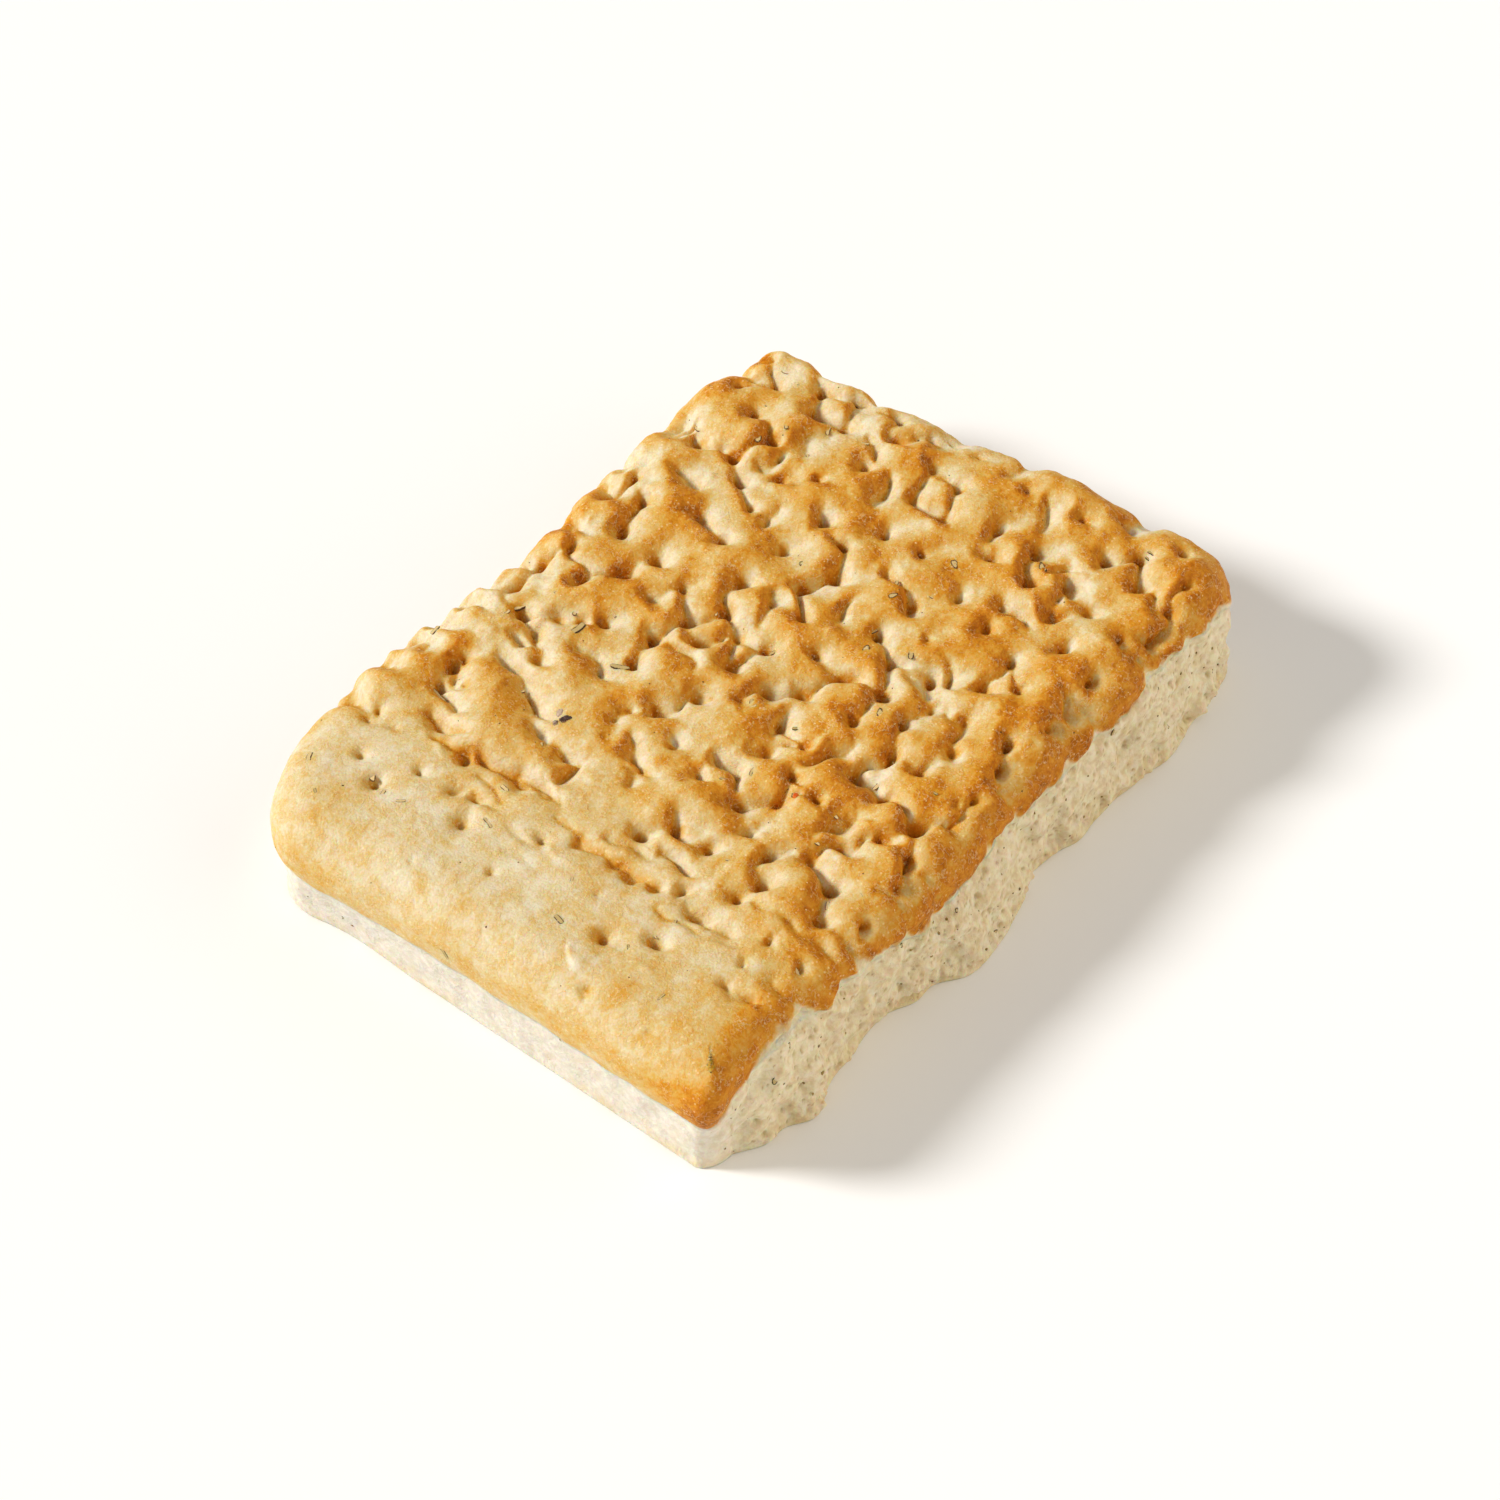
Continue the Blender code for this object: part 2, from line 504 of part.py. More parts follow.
def cage():
    """A cube scaled to the slab and cut into cells along each axis."""
    bm = bmesh.new()
    bmesh.ops.create_cube(bm, size=1.0)
    size = Vector((2 * HALF_LENGTH, 2 * HALF_WIDTH, HEIGHT))
    bmesh.ops.transform(bm, matrix=Matrix.Diagonal(size).to_4x4(), verts=bm.verts)
    bmesh.ops.translate(bm, vec=Vector((0, 0, HEIGHT / 2)), verts=bm.verts)
    for axis in range(3):
        low = 0 if axis == 2 else -size[axis] / 2
        cells = round(size[axis] / CAGE_CELL)
        across = Vector([float(i == axis) for i in range(3)])
        for i in range(1, cells):
            at = across * (low + size[axis] * i / cells)
            everything = bm.verts[:] + bm.edges[:] + bm.faces[:]
            bmesh.ops.bisect_plane(bm, geom=everything, plane_co=at, plane_no=across)
    mesh = bpy.data.meshes.new("cage")
    bm.to_mesh(mesh)
    bm.free()
    return mesh


def build_slab(collection):
    """The bread without its herbs, and its finished surface before it is thinned out."""
    slab = bpy.data.objects.new(NAME, cage())
    collection.objects.link(slab)
    halve = slab.modifiers.new("halve", "SUBSURF")
    halve.subdivision_type = "SIMPLE"
    halve.levels = HALVINGS
    halve.render_levels = HALVINGS
    mesh = baked(slab)
    slab.modifiers.clear()
    slab.data = mesh

    def normals_of(points):
        set_coordinates(mesh, points)
        return vertex_normals(mesh)

    points = shape(coordinates(mesh), normals_of)
    set_coordinates(mesh, points)
    surface = points, vertex_normals(mesh)
    thin = slab.modifiers.new("thin", "DECIMATE")
    thin.ratio = TRIANGLES / (2 * len(mesh.polygons))
    thin.use_collapse_triangulate = True
    slab.data = baked(slab)
    slab.modifiers.clear()
    return slab, surface


def herb_bit(name, length, width):
    """A short flattened leaf with six sides, bent down at its ends."""
    bm = bmesh.new()
    bmesh.ops.create_uvsphere(bm, u_segments=4, v_segments=6, radius=0.5)
    for vert in bm.verts:
        x, y, z = vert.co.z, vert.co.x, vert.co.y
        bend = 0.25 * width * (2 * x) ** 2
        vert.co = Vector((x * length, y * width, z * HERB_THICKNESS - bend))
    bmesh.ops.recalc_face_normals(bm, faces=bm.faces)
    mesh = bpy.data.meshes.new(name)
    bm.to_mesh(mesh)
    bm.free()
    return bpy.data.objects.new(name, mesh)


def set_on(obj, point, normal, heading):
    """Lays an object on the crust at a point, its length along the heading."""
    up = Vector(normal).normalized()
    along = Vector((math.cos(math.radians(heading)), math.sin(math.radians(heading)), 0))
    across = up.cross(along).normalized()
    along = across.cross(up)
    turn = Matrix((along, across, up)).transposed().to_4x4()
    obj.matrix_world = Matrix.Translation(Vector(point) - up * HERB_SUNK) @ turn


def build_herbs(collection, surface):
    points, normals = surface
    upper = np.flatnonzero(normals[:, 2] > 0.2)
    for i, (x, y, heading, length, width) in enumerate(HERBS):
        nearest = upper[np.argmin(np.hypot(*(points[upper, :2] - (x, y)).T))]
        bit = herb_bit(f"herb_{i}", length, width)
        collection.objects.link(bit)
        set_on(bit, points[nearest], normals[nearest], heading)
    x, y, z, heading, length, width = SIDE_HERB
    nearest = np.argmin(((points - (x, y, z)) ** 2).sum(1))
    bit = herb_bit("herb_side", length, width)
    collection.objects.link(bit)
    set_on(bit, points[nearest], normals[nearest], heading)


def join_herbs(slab, herbs):
    """Unites the herbs with the bread, and leaves one closed mesh."""
    union = slab.modifiers.new("herbs", "BOOLEAN")
    union.operation = "UNION"
    union.operand_type = "COLLECTION"
    union.collection = herbs
    slab.data = baked(slab)
    slab.modifiers.clear()
    for obj in list(herbs.objects):
        bpy.data.objects.remove(obj, do_unlink=True)
    bpy.data.collections.remove(herbs)


def set_down(slab):
    """Centres the slab over the origin, flat on the table, and writes it in metres."""
    points = coordinates(slab.data)
    middle = (points.min(0) + points.max(0)) / 2
    points[:, :2] -= middle[:2]
    points[:, 2] = np.where(points[:, 2] < 0.03, 0, points[:, 2])
    set_coordinates(slab.data, points * MM)


def main():
    clear_scene()
    bread = new_collection("olive_focaccia")
    herbs = new_collection("herbs")
    slab, surface = build_slab(bread)
    build_herbs(herbs, surface)
    join_herbs(slab, herbs)
    set_down(slab)
    slab.data.materials.clear()
    slab.data.materials.append(crust_material())
    slab.data.shade_smooth()


main()
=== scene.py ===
"""The looks of an olive focaccia slab: browned crust, torn crumb, baked-in herbs, on a pale floor.

The crust and the crumb follow the same shape rules as the solid, on a finer grid, with pores, grain and
small bits of their own. X runs along the slab, Y across it, Z up. Lengths are in millimetres until a mesh
is written in metres.
"""

import math
from collections import namedtuple

import bmesh
import bpy
import numpy as np
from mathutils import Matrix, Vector, kdtree


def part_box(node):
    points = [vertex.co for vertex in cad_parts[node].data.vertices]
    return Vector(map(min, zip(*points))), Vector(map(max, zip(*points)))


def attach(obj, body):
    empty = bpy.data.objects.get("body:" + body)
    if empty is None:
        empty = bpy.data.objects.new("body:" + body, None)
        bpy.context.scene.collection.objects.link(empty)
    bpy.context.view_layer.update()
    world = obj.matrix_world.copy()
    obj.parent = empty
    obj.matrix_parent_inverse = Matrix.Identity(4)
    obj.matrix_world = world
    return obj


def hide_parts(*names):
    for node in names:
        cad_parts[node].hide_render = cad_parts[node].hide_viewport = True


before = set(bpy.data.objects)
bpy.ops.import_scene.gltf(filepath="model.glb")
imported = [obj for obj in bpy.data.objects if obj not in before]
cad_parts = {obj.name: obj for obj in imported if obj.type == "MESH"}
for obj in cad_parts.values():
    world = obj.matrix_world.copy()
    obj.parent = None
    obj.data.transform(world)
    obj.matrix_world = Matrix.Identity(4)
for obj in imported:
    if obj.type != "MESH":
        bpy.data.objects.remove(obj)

MM = 0.001
Surface = namedtuple("Surface", "points normals facts")
NODE = "focaccia"
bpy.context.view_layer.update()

# Driving dimensions of the plain slab, before its edges swell and tear
HALF_LENGTH = 100.0
HALF_WIDTH = 71.0
HEIGHT = 37.0
SHOULDER = 10.5  # radius of the crust's upper edge
BOTTOM_EDGE = 1.2  # radius of the lower edge
WIDEST = HEIGHT - SHOULDER  # the height where the crust swells most
CROWN = 1.0  # how much higher the middle of the top is than its edges
CORNER_RADII = {(-1, -1): 5.0, (-1, 1): 19.5, (1, -1): 11.5, (1, 1): 9.5}
LIP = 6.0  # how far above its lower edge the crust has swollen to its full width

# The surface's unevenness, as (height, wavelength)
RAGGED = (0.6, 13.0)  # the front side's foot, where it was torn
SMOOTH_DENTS = (0.15, 24.0)  # the crust of the smooth end
DOCKED_DENTS = (0.35, 24.0)  # what the docked field has on top of that
DOCKED_RIPPLES = (0.16, 10.0)
BAND_LUMPS = (0.2, 9.0)  # the pale band under the crust
CRUMB_LUMPS = (0.5, 9.0)  # what the torn crumb has on top of that
CRUMB_PORES = (0.3, 4.5)
WANDER = (0.75, 10.0)  # how far folds and pits stray from plain lines and rounds

# The four edges, as (place along the edge, outward distance from the plain slab). "crust" is the widest
# line of the crust, "foot" the line where the slab meets the table, "notch" the height of the crust's
# lower edge, and "step" how far the band tucks in under it.
EDGES = {
    "left": {
        "crust": ((-70, 4.2), (20, 4.0), (65, 6.6)),
        "foot": ((-70, 1.4), (20, 0.6), (48, 0.5), (66, 4.8)),
        "notch": ((-66, 19.5), (-40, 18.5), (65, 18.0)),
        "step": 1.6,
    },
    "right": {
        "crust": ((-68, 2.0), (-46, 3.8), (-25, 2.0), (10, -3.2), (30, -5.0), (60, -8.8)),
        "foot": ((-68, 2.8), (-40, 1.6), (10, -4.4), (60, -11.5)),
        "notch": ((-66, 17.0), (60, 16.0)),
        "step": 3.0,
    },
    "front": {
        "crust": ((-98, -1.0), (-60, 0.2), (-20, 1.6), (15, 0.2), (60, 1.6), (95, 2.2)),
        "foot": (
            (-92, -4.6), (-82, 2.0), (-68, 4.2), (-61, 0.6), (-53, 0.0), (-38, 1.4), (-29, 3.2),
            (-19, 7.8), (-6, 8.6), (5, 4.6), (22, 2.8), (31, 4.6), (48, 3.9), (61, 6.6), (80, 4.2),
            (97, 3.0),
        ),
        "notch": (
            (-99, 19.0), (-94, 26.5), (-87, 29.5), (-79, 31.0), (-71, 30.5), (-62, 27.0), (-54, 28.0),
            (-45, 27.5), (-36, 24.5), (-28, 21.0), (-20, 21.5), (-10, 22.0), (0, 23.5), (6, 25.5),
            (14, 23.5), (24, 24.0), (32, 23.5), (45, 25.5), (54, 25.5), (61, 29.0), (69, 28.0),
            (92, 29.0),
        ),
        "step": 1.2,
    },
    "back": {
        "crust": (
            (-88, 1.4), (-68, 5.4), (-36, 7.0), (-18, 4.0), (-6, 2.2), (10, 1.0), (34, 4.2), (50, 2.6),
            (66, 1.6), (88, -4.0),
        ),
        "foot": ((-88, -1.0), (-60, 1.6), (0, -2.4), (50, -0.6), (88, -5.5)),
        "notch": ((-88, 18.0), (0, 17.0), (88, 17.0)),
        "step": 2.4,
    },
}

# Creases and valleys of the crust: from x, y to x, y, depth and width
VALLEYS = (
    # long creases that part the smooth end from the docked field
    (-67, 67, -65.6, 56.5, 3.0, 2.0), (-58.8, 52.5, -58, 41.5, 3.4, 2.0), (-60.5, 34, -60, 23, 4.0, 2.2),
    (-60, 23, -59.3, 14, 4.0, 2.2), (-72, 28, -69.5, 21.5, 1.8, 1.4), (-68, -1.5, -66.5, -8, 2.2, 1.6),
    (-60.5, -5.5, -59, -16, 2.8, 1.6), (-57.2, -16.7, -55, -30, 3.2, 1.8),
    (-64.5, -33.5, -67.5, -39, 3.8, 2.0), (-67.5, -39, -64.9, -48.5, 2.4, 1.6),
    (-55, -45, -55, -67, 2.4, 1.6), (-78.2, -53, -78, -62, 3.0, 1.6),
    # deep folds under the far and right sides of the big pillows
    (-51, 57.5, -52, 46.3, 3.8, 2.2), (-33, 51.5, -36, 43, 3.4, 2.2), (-36, 43, -41.2, 31, 4.0, 2.2),
    (-45.5, 31, -49, 24.5, 3.4, 2.0), (-48, 22, -48.5, 15.3, 4.0, 2.2), (-48.5, 15.3, -55, 15.4, 4.0, 2.2),
    (-35.5, 10, -39.5, 1.5, 4.6, 2.2), (-39.5, 1.5, -45, 2.2, 3.8, 2.0), (-8, 20, -8.3, 11, 3.6, 2.0),
    (-20, 38, -23.5, 25, 4.0, 2.2), (-38, 15.5, -30, 17.5, 3.0, 2.0), (-26.5, 52, -26.5, 47.5, 3.4, 1.8),
    (-14.5, 47, -12, 40, 3.4, 1.8), (-26, -10, -29.5, -18.5, 4.4, 2.0), (-33.5, -7, -35, -12, 3.6, 1.8),
    (-41.5, -27, -36, -29.5, 4.8, 2.4), (-29, -42, -19, -46, 4.8, 3.0), (-14, -28, -4, -33, 4.4, 2.8),
    (12, 8, 22, 12, 4.2, 2.4), (53.5, 41, 71, 35, 4.6, 2.8), (62, 12, 70, 14, 4.2, 2.4),
    (72, 17, 79, 27.5, 2.8, 2.2), (40, 56, 38, 49, 4.2, 2.6), (54.5, -26, 51.5, -40, 4.2, 2.2),
    (31, -35, 25.5, -40, 4.4, 2.4), (80, -26, 89, -22, 3.0, 2.0), (50, 65, 60, 63, 3.0, 2.4),
    (38.5, -62, 36, -68, 3.4, 2.0), (69, -35, 75, -41, 3.2, 2.0), (45, 29, 37, 27, 3.4, 2.2),
    (22, -4, 32, -5, 3.6, 2.2),
)

# The plainest of the docking pits: x, y, depth
PITS = (
    # scattered over the smooth end
    (-78, 56.5, 1.6), (-82, 48.5, 2.2), (-73.7, 42.2, 1.4), (-73.2, 32.7, 1.8), (-79, 25, 2.6),
    (-86, 9.5, 0.8), (-71.4, 6.5, 1.8), (-67.5, -15, 2.4), (-66.5, -22, 2.2), (-78, -32, 2.8),
    (-69.3, -51.5, 1.4), (-62, -52.5, 1.8), (-84.5, -22.5, 2.6),
    # the docked field, left half
    (-63.2, 37.2, 3.0), (-64, 63.5, 2.6), (-49, 57, 3.0), (-43, 59, 4.0), (-39, 57.5, 2.0),
    (-45.5, 52, 2.6), (-29.9, 43.4, 3.0), (-23.2, 48.7, 2.0), (-20, 57, 4.0), (-15.5, 48, 3.0),
    (-10, 39.7, 3.8), (-2.5, 53, 4.0), (-6.5, 27, 3.8), (-16.5, 25, 3.2), (-29.9, 17.7, 2.2),
    (-23.5, 11.5, 3.8), (-15, 6, 3.8), (-30.5, 1, 3.4), (-55.6, -9.5, 3.6), (-62, -28, 2.8),
    (-48.6, -24, 3.6), (-17.5, -16.5, 4.0), (-55.8, -38.5, 3.4), (-50, -41, 3.6), (-42.5, -37, 3.4),
    (-49.5, -57, 3.8), (-40.5, -53, 3.6), (-11.5, -47, 3.8), (-14.5, -57.5, 4.2), (-43, -67, 4.0),
    (-30.5, -66.5, 3.6),
    # the docked field, right half
    (17, 55.5, 4.2), (13.5, 42.5, 4.4), (31, 42.5, 4.0), (27.5, 32.5, 3.8), (20, 21, 4.2), (48, 18, 4.2),
    (66.5, 53.5, 3.6), (83, 45.5, 3.6), (87, 35.5, 3.2), (69, 21, 3.6), (35.7, 4.7, 3.8),
    (63, -22, 3.2), (78.6, -54.6, 3.8), (47.5, -64, 3.6), (69, -68, 3.8), (12.5, -63, 3.6),
    (65, -49.5, 3.6), (13, -27, 3.6), (45, -34.5, 3.8), (20, -59.5, 3.6), (40, -16, 3.6), (11.5, -17, 3.4),
)

# The plainest of the raised pillows: x, y, half length, half width, heading in degrees, rise
PILLOWS = (
    (-54, 30, 13, 6.5, 90, 1.4), (-31, 39, 13, 6, 72, 1.2), (-42, 48, 8, 5, 60, 1.0),
    (-44, -14, 9, 8, 0, 1.4), (-24, -35, 11, 7, -10, 1.4), (-3, -24, 8, 8, 30, 1.4),
    (15, 14, 7, 7, 0, 1.3), (62, 45, 13, 6, -15, 1.5), (56, 57, 9, 5, 0, 1.2), (-22, -66, 9, 7, 0, 1.3),
    (43, 9, 8, 6, 30, 1.2), (63, -40, 9, 6, 50, 1.2), (44, -57, 9, 6, 20, 1.1),
    (-8, -53, 10, 5, 0, 1.2), (24, 50, 8, 5, 20, 1.0), (-15, 19, 7, 8, 60, 1.2),
    (69, -24, 8, 9, 60, 1.3), (-48, -47, 9, 6, 20, 1.2),
)

# Folds that run over the rounded edge and scallop it: depth, width and their places along the edge
FOLDS = {
    "back": (5.2, 1.9, (-65, -51, -41, -32, -24, -15, -5, 10, 26, 36, 52, 77)),
    "right": (4.4, 1.9, (48, 33, 10, -10, -42)),
    "front": (2.4, 1.3, (-70, -50, -34, -24, -2, 9, 30, 41, 61, 76)),
}
FOLD_STEPS = ((10.0, HEIGHT), (4.0, HEIGHT - 3.0), (0.5, WIDEST), (0.0, WIDEST - 6.0))  # inset, height

# The rest of the pits fall by chance, about PIT_GAP apart and no nearer to a valley than VALLEY_GAP
SEED = 7
DARTS = 6000
PIT_GAP = 8.7
VALLEY_GAP = 5.5
SMOOTH_END = -64.0  # the docked field starts here
BIG_PILLOWS = (-14.0, -12.0)  # left of this x and beyond this y there are only the named pits
CHANCE_DEPTHS = (2.0, 4.4)

# How the crust dips round a pit: a wide funnel, a sharp point, and a creased saddle to the nearest pits
DIP_RATE = 0.6  # how fast a dip runs out over its size
FUNNEL = 1.35
FUNNEL_SHARE = 1.25
FULL_PIT = 3.4  # a shallower pit is narrower too
POINT = 1.0
POINT_SHARE = 0.7
SADDLE = 1.15
SADDLE_SHARE = 1.0
CREASE = 0.8
CREASE_SHARE = 0.24
VALLEY_CREASE_SHARE = 0.36
SADDLE_REACH = 11.0
VALLEY_SIZE = 0.65  # a valley's size as a dip, in shares of its width
VALLEY_ENDS = 0.45  # how much shallower a valley is at its ends
MERGE_POWER = 2.6  # how sharply neighbouring dips take over from each other
LEAN = 0.45  # how much steeper than round the dips are on their steep side
STEEP_SIDE = (-0.62, 0.78, 0.0)

# Bits baked into the crust: x, y, heading in degrees, length, width
HERBS = (
    (-87, -12, 75, 3.0, 1.4), (-75, 19, 70, 3.6, 0.9), (-65, 23, 80, 2.6, 1.2), (-64, -63, 60, 4.2, 1.2),
    (-51, 55, 75, 5.0, 1.2), (-18, 58, -25, 4.6, 1.8), (-16, 41, -5, 4.2, 1.8), (-19, 26, 115, 5.0, 1.5),
    (-86, 65, 30, 3.4, 1.4), (-81, 50, 60, 3.2, 1.6), (-36, 69, 10, 3.4, 1.2), (53, 66, 40, 4.0, 1.0),
    (73, 35, 25, 3.0, 1.1), (87, 36, 80, 3.4, 1.4), (59, 46, 40, 3.4, 1.8), (9, 1, -10, 3.6, 1.0),
    (42, -10, 20, 2.8, 1.0), (21, -17, 10, 2.8, 1.6), (56, -17, 50, 3.0, 1.6), (27, -26, 30, 3.2, 1.4),
    (7, -32, 40, 2.8, 1.6), (69, -34, 60, 3.2, 1.6), (-8, -43, 5, 3.4, 1.1), (-24, -31, 15, 2.8, 1.8),
    (-39, 27, -35, 5.0, 2.6), (-9, -6, 35, 2.6, 0.9), (-25, -19, 10, 3.0, 0.9), (-44, -56, 30, 2.6, 0.9),
)


def through(pairs, along):
    """The smooth line through (place, value) pairs, read at each place in along."""
    places = np.array([place for place, _ in pairs], float)
    values = np.array([value for _, value in pairs], float)
    slopes = np.gradient(values, places)
    at = np.clip(along, places[0], places[-1])
    i = np.clip(np.searchsorted(places, at) - 1, 0, len(places) - 2)
    span = places[i + 1] - places[i]
    t = (at - places[i]) / span
    return (
        (1 + 2 * t) * (1 - t) ** 2 * values[i]
        + t * (1 - t) ** 2 * span * slopes[i]
        + t * t * (3 - 2 * t) * values[i + 1]
        - t * t * (1 - t) * span * slopes[i + 1]
    )


def step(low, high, x):
    """0 below low, 1 above high, and a smooth rise between."""
    t = np.clip((x - low) / (high - low), 0, 1)
    return t * t * (3 - 2 * t)


def waves(points, size, seed, count=48):
    """Smooth noise of a given (height, wavelength), made of plane waves."""
    height, length = size
    rng = np.random.default_rng(seed)
    headings = rng.normal(size=(count, 3))
    headings /= np.linalg.norm(headings, axis=1)[:, None]
    numbers = 2 * math.pi / length * rng.uniform(0.65, 1.4, count)
    phases = rng.uniform(0, 2 * math.pi, count)
    total = np.zeros(len(points))
    for heading, number, phase in zip(headings, numbers, phases):
        total += np.cos(points @ heading * number + phase)
    return total * height * math.sqrt(2 / count)


def swell(kind, along, z):
    """How far an edge stands out from the plain slab at each height."""
    edge = EDGES[kind]
    crust = through(edge["crust"], along)
    foot = through(edge["foot"], along)
    notch = through(edge["notch"], along)
    under = crust - edge["step"]
    above = np.clip((z - notch) / LIP, 0, 1)
    below = np.clip(z / notch, 0, 1)
    upper = crust - edge["step"] * (1 - above) ** 2
    lower = foot + (under - foot) * below**1.4
    return np.where(z > notch, upper, lower)


def end_weight(u, v):
    """1 by the left and right ends, 0 by the front and back, and a mix at the corners."""
    across, along = np.abs(u) ** 20, np.abs(v) ** 20
    return across / (across + along + 1e-9)


def notch_height(x, y):
    """The height of the crust's lower edge on the side nearest to each point."""
    u, v = x / HALF_LENGTH, y / HALF_WIDTH
    ends = np.where(u < 0, through(EDGES["left"]["notch"], y), through(EDGES["right"]["notch"], y))
    sides = np.where(v < 0, through(EDGES["front"]["notch"], x), through(EDGES["back"]["notch"], x))
    weight = end_weight(u, v)
    return weight * ends + (1 - weight) * sides


def round_corners(x, y):
    """Squares off to arcs: the plan of the plain slab, with a radius of its own at each corner."""
    x, y = x.copy(), y.copy()
    for (side_x, side_y), radius in CORNER_RADII.items():
        over_x = np.clip((side_x * x - HALF_LENGTH) / radius + 1, 0, 1)
        over_y = np.clip((side_y * y - HALF_WIDTH) / radius + 1, 0, 1)
        x -= side_x * radius * over_x * (1 - np.sqrt(1 - over_y**2 / 2))
        y -= side_y * radius * over_y * (1 - np.sqrt(1 - over_x**2 / 2))
    return x, y


def from_edge(x, y):
    """The distance in from the plain slab's rounded plan, and the direction out to it."""
    radius = np.zeros(len(x))
    for (side_x, side_y), size in CORNER_RADII.items():
        radius = np.where((side_x * x >= 0) & (side_y * y >= 0), size, radius)
    over_x = np.abs(x) - HALF_LENGTH + radius
    over_y = np.abs(y) - HALF_WIDTH + radius
    corner = np.hypot(np.maximum(over_x, 0), np.maximum(over_y, 0))
    inside = np.minimum(np.maximum(over_x, over_y), 0)
    safe = np.maximum(corner, 1e-9)
    by_x = over_x > over_y
    out_x = np.where(corner > 0, np.maximum(over_x, 0) / safe, by_x)
    out_y = np.where(corner > 0, np.maximum(over_y, 0) / safe, ~by_x)
    distance = np.maximum(radius - corner - inside, 0)
    return distance, out_x * np.sign(x), out_y * np.sign(y)


def round_edge(points, radius, top):
    """Rolls the slab's upper or lower edge over to a quarter round."""
    x, y, z = points.T
    distance, out_x, out_y = from_edge(x, y)
    level = z - (HEIGHT - radius) if top else radius - z
    rise = np.clip(level / radius, 0, 1)
    near = np.clip(1 - distance / radius, 0, 1)
    inward = radius * near * (1 - np.sqrt(1 - rise**2 / 2))
    drop = radius * rise * (1 - np.sqrt(1 - near**2 / 2))
    return np.stack([x - out_x * inward, y - out_y * inward, z - drop if top else z + drop], 1)


def plain_slab(box):
    """The slab with its rounded, swollen and torn edges, but a crust without pits."""
    x, y = round_corners(box[:, 0], box[:, 1])
    points = np.stack([x, y, box[:, 2]], 1)
    points = round_edge(points, SHOULDER, top=True)
    points = round_edge(points, BOTTOM_EDGE, top=False)
    x, y, z = points.T
    u, v = x / HALF_LENGTH, y / HALF_WIDTH
    ends = np.where(u < 0, swell("left", y, z), swell("right", y, z))
    torn = waves(np.stack([x, 0 * x, 0.3 * z], 1), RAGGED, 31) * (1 - step(0, WIDEST, z))
    sides = np.where(v < 0, swell("front", x, z) + torn, swell("back", x, z))
    crown = CROWN * ((1 - u**2) * (1 - v**2) - 0.5) * z / HEIGHT
    return np.stack([x + u * np.abs(u) ** 5 * ends, y + v * np.abs(v) ** 5 * sides, z + crown], 1)


def upper_side():
    """The plain slab's upper side, as points a millimetre apart."""
    x, y = np.meshgrid(np.arange(-HALF_LENGTH, HALF_LENGTH + 1), np.arange(-HALF_WIDTH, HALF_WIDTH + 1))
    return plain_slab(np.stack([x.ravel(), y.ravel(), np.full(x.size, HEIGHT)], 1))


def on_crust(upper, x, y):
    """The place (x, y) at the height of the upper side."""
    nearest = np.argmin(np.hypot(upper[:, 0] - x, upper[:, 1] - y))
    return np.array((x, y, upper[nearest, 2]))


def chance_pits():
    """Pits by chance over the docked field, spaced evenly between those that are named."""
    rng = np.random.default_rng(SEED)
    taken = [pit[:2] for pit in PITS]
    for x0, y0, x1, y1, _, _ in VALLEYS:
        steps = max(2, round(math.hypot(x1 - x0, y1 - y0) / 3))
        taken += [(x0 + (x1 - x0) * i / steps, y0 + (y1 - y0) * i / steps) for i in range(steps + 1)]
    named = len(PITS)
    pits = []
    for _ in range(DARTS):
        x = rng.uniform(SMOOTH_END, HALF_LENGTH)
        y = rng.uniform(-HALF_WIDTH, HALF_WIDTH)
        depth = rng.uniform(*CHANCE_DEPTHS)
        gap = PIT_GAP * rng.uniform(0.9, 1.25)
        right = HALF_LENGTH + through(EDGES["right"]["crust"], y) - 7
        if x > right or y < 5 - HALF_WIDTH or y > HALF_WIDTH - 4:
            continue
        if x < BIG_PILLOWS[0] and y > BIG_PILLOWS[1]:
            continue
        apart = np.hypot(*(np.array(taken) - (x, y)).T)
        near_valley = apart[named : len(taken) - len(pits)].min()
        near_pit = min(apart[:named].min(), apart[len(taken) - len(pits) :].min(initial=99))
        if near_pit > gap and near_valley > VALLEY_GAP:
            pits.append((x, y, depth))
            taken.append((x, y))
    return pits


def edge_folds():
    """The folds over the crust's rounded edge, as straight runs: start, end, depth and width."""
    runs = []
    for kind, (depth, width, places) in FOLDS.items():
        for place in places:
            reach = float(through(EDGES[kind]["crust"], place))
            if kind == "right":
                row = [(HALF_LENGTH + reach - inset, place, z) for inset, z in FOLD_STEPS]
            else:
                side = 1 if kind == "back" else -1
                row = [(place, side * (HALF_WIDTH + reach - inset), z) for inset, z in FOLD_STEPS]
            row = np.array(row)
            runs += [(start, end, depth, width) for start, end in zip(row, row[1:])]
    return runs


def saddles(pits, depths):
    """Each pit of the docked field joined to its two nearest neighbours: pairs of ends, with mean depth."""
    apart = np.linalg.norm(pits[:, None] - pits[None], axis=2)
    np.fill_diagonal(apart, math.inf)
    pairs = set()
    for i, row in enumerate(apart):
        for j in np.argsort(row)[:2]:
            docked = min(pits[i][0], pits[j][0]) > SMOOTH_END + 2
            if docked and row[j] < SADDLE_REACH:
                pairs.add((min(i, int(j)), max(i, int(j))))
    return [(pits[i], pits[j], (depths[i] + depths[j]) / 2) for i, j in sorted(pairs)]


def leaning(offsets):
    """How long offsets from the middle of a dip are, counted longer towards its steep side."""
    return np.linalg.norm(offsets, axis=1) + LEAN * offsets @ STEEP_SIDE


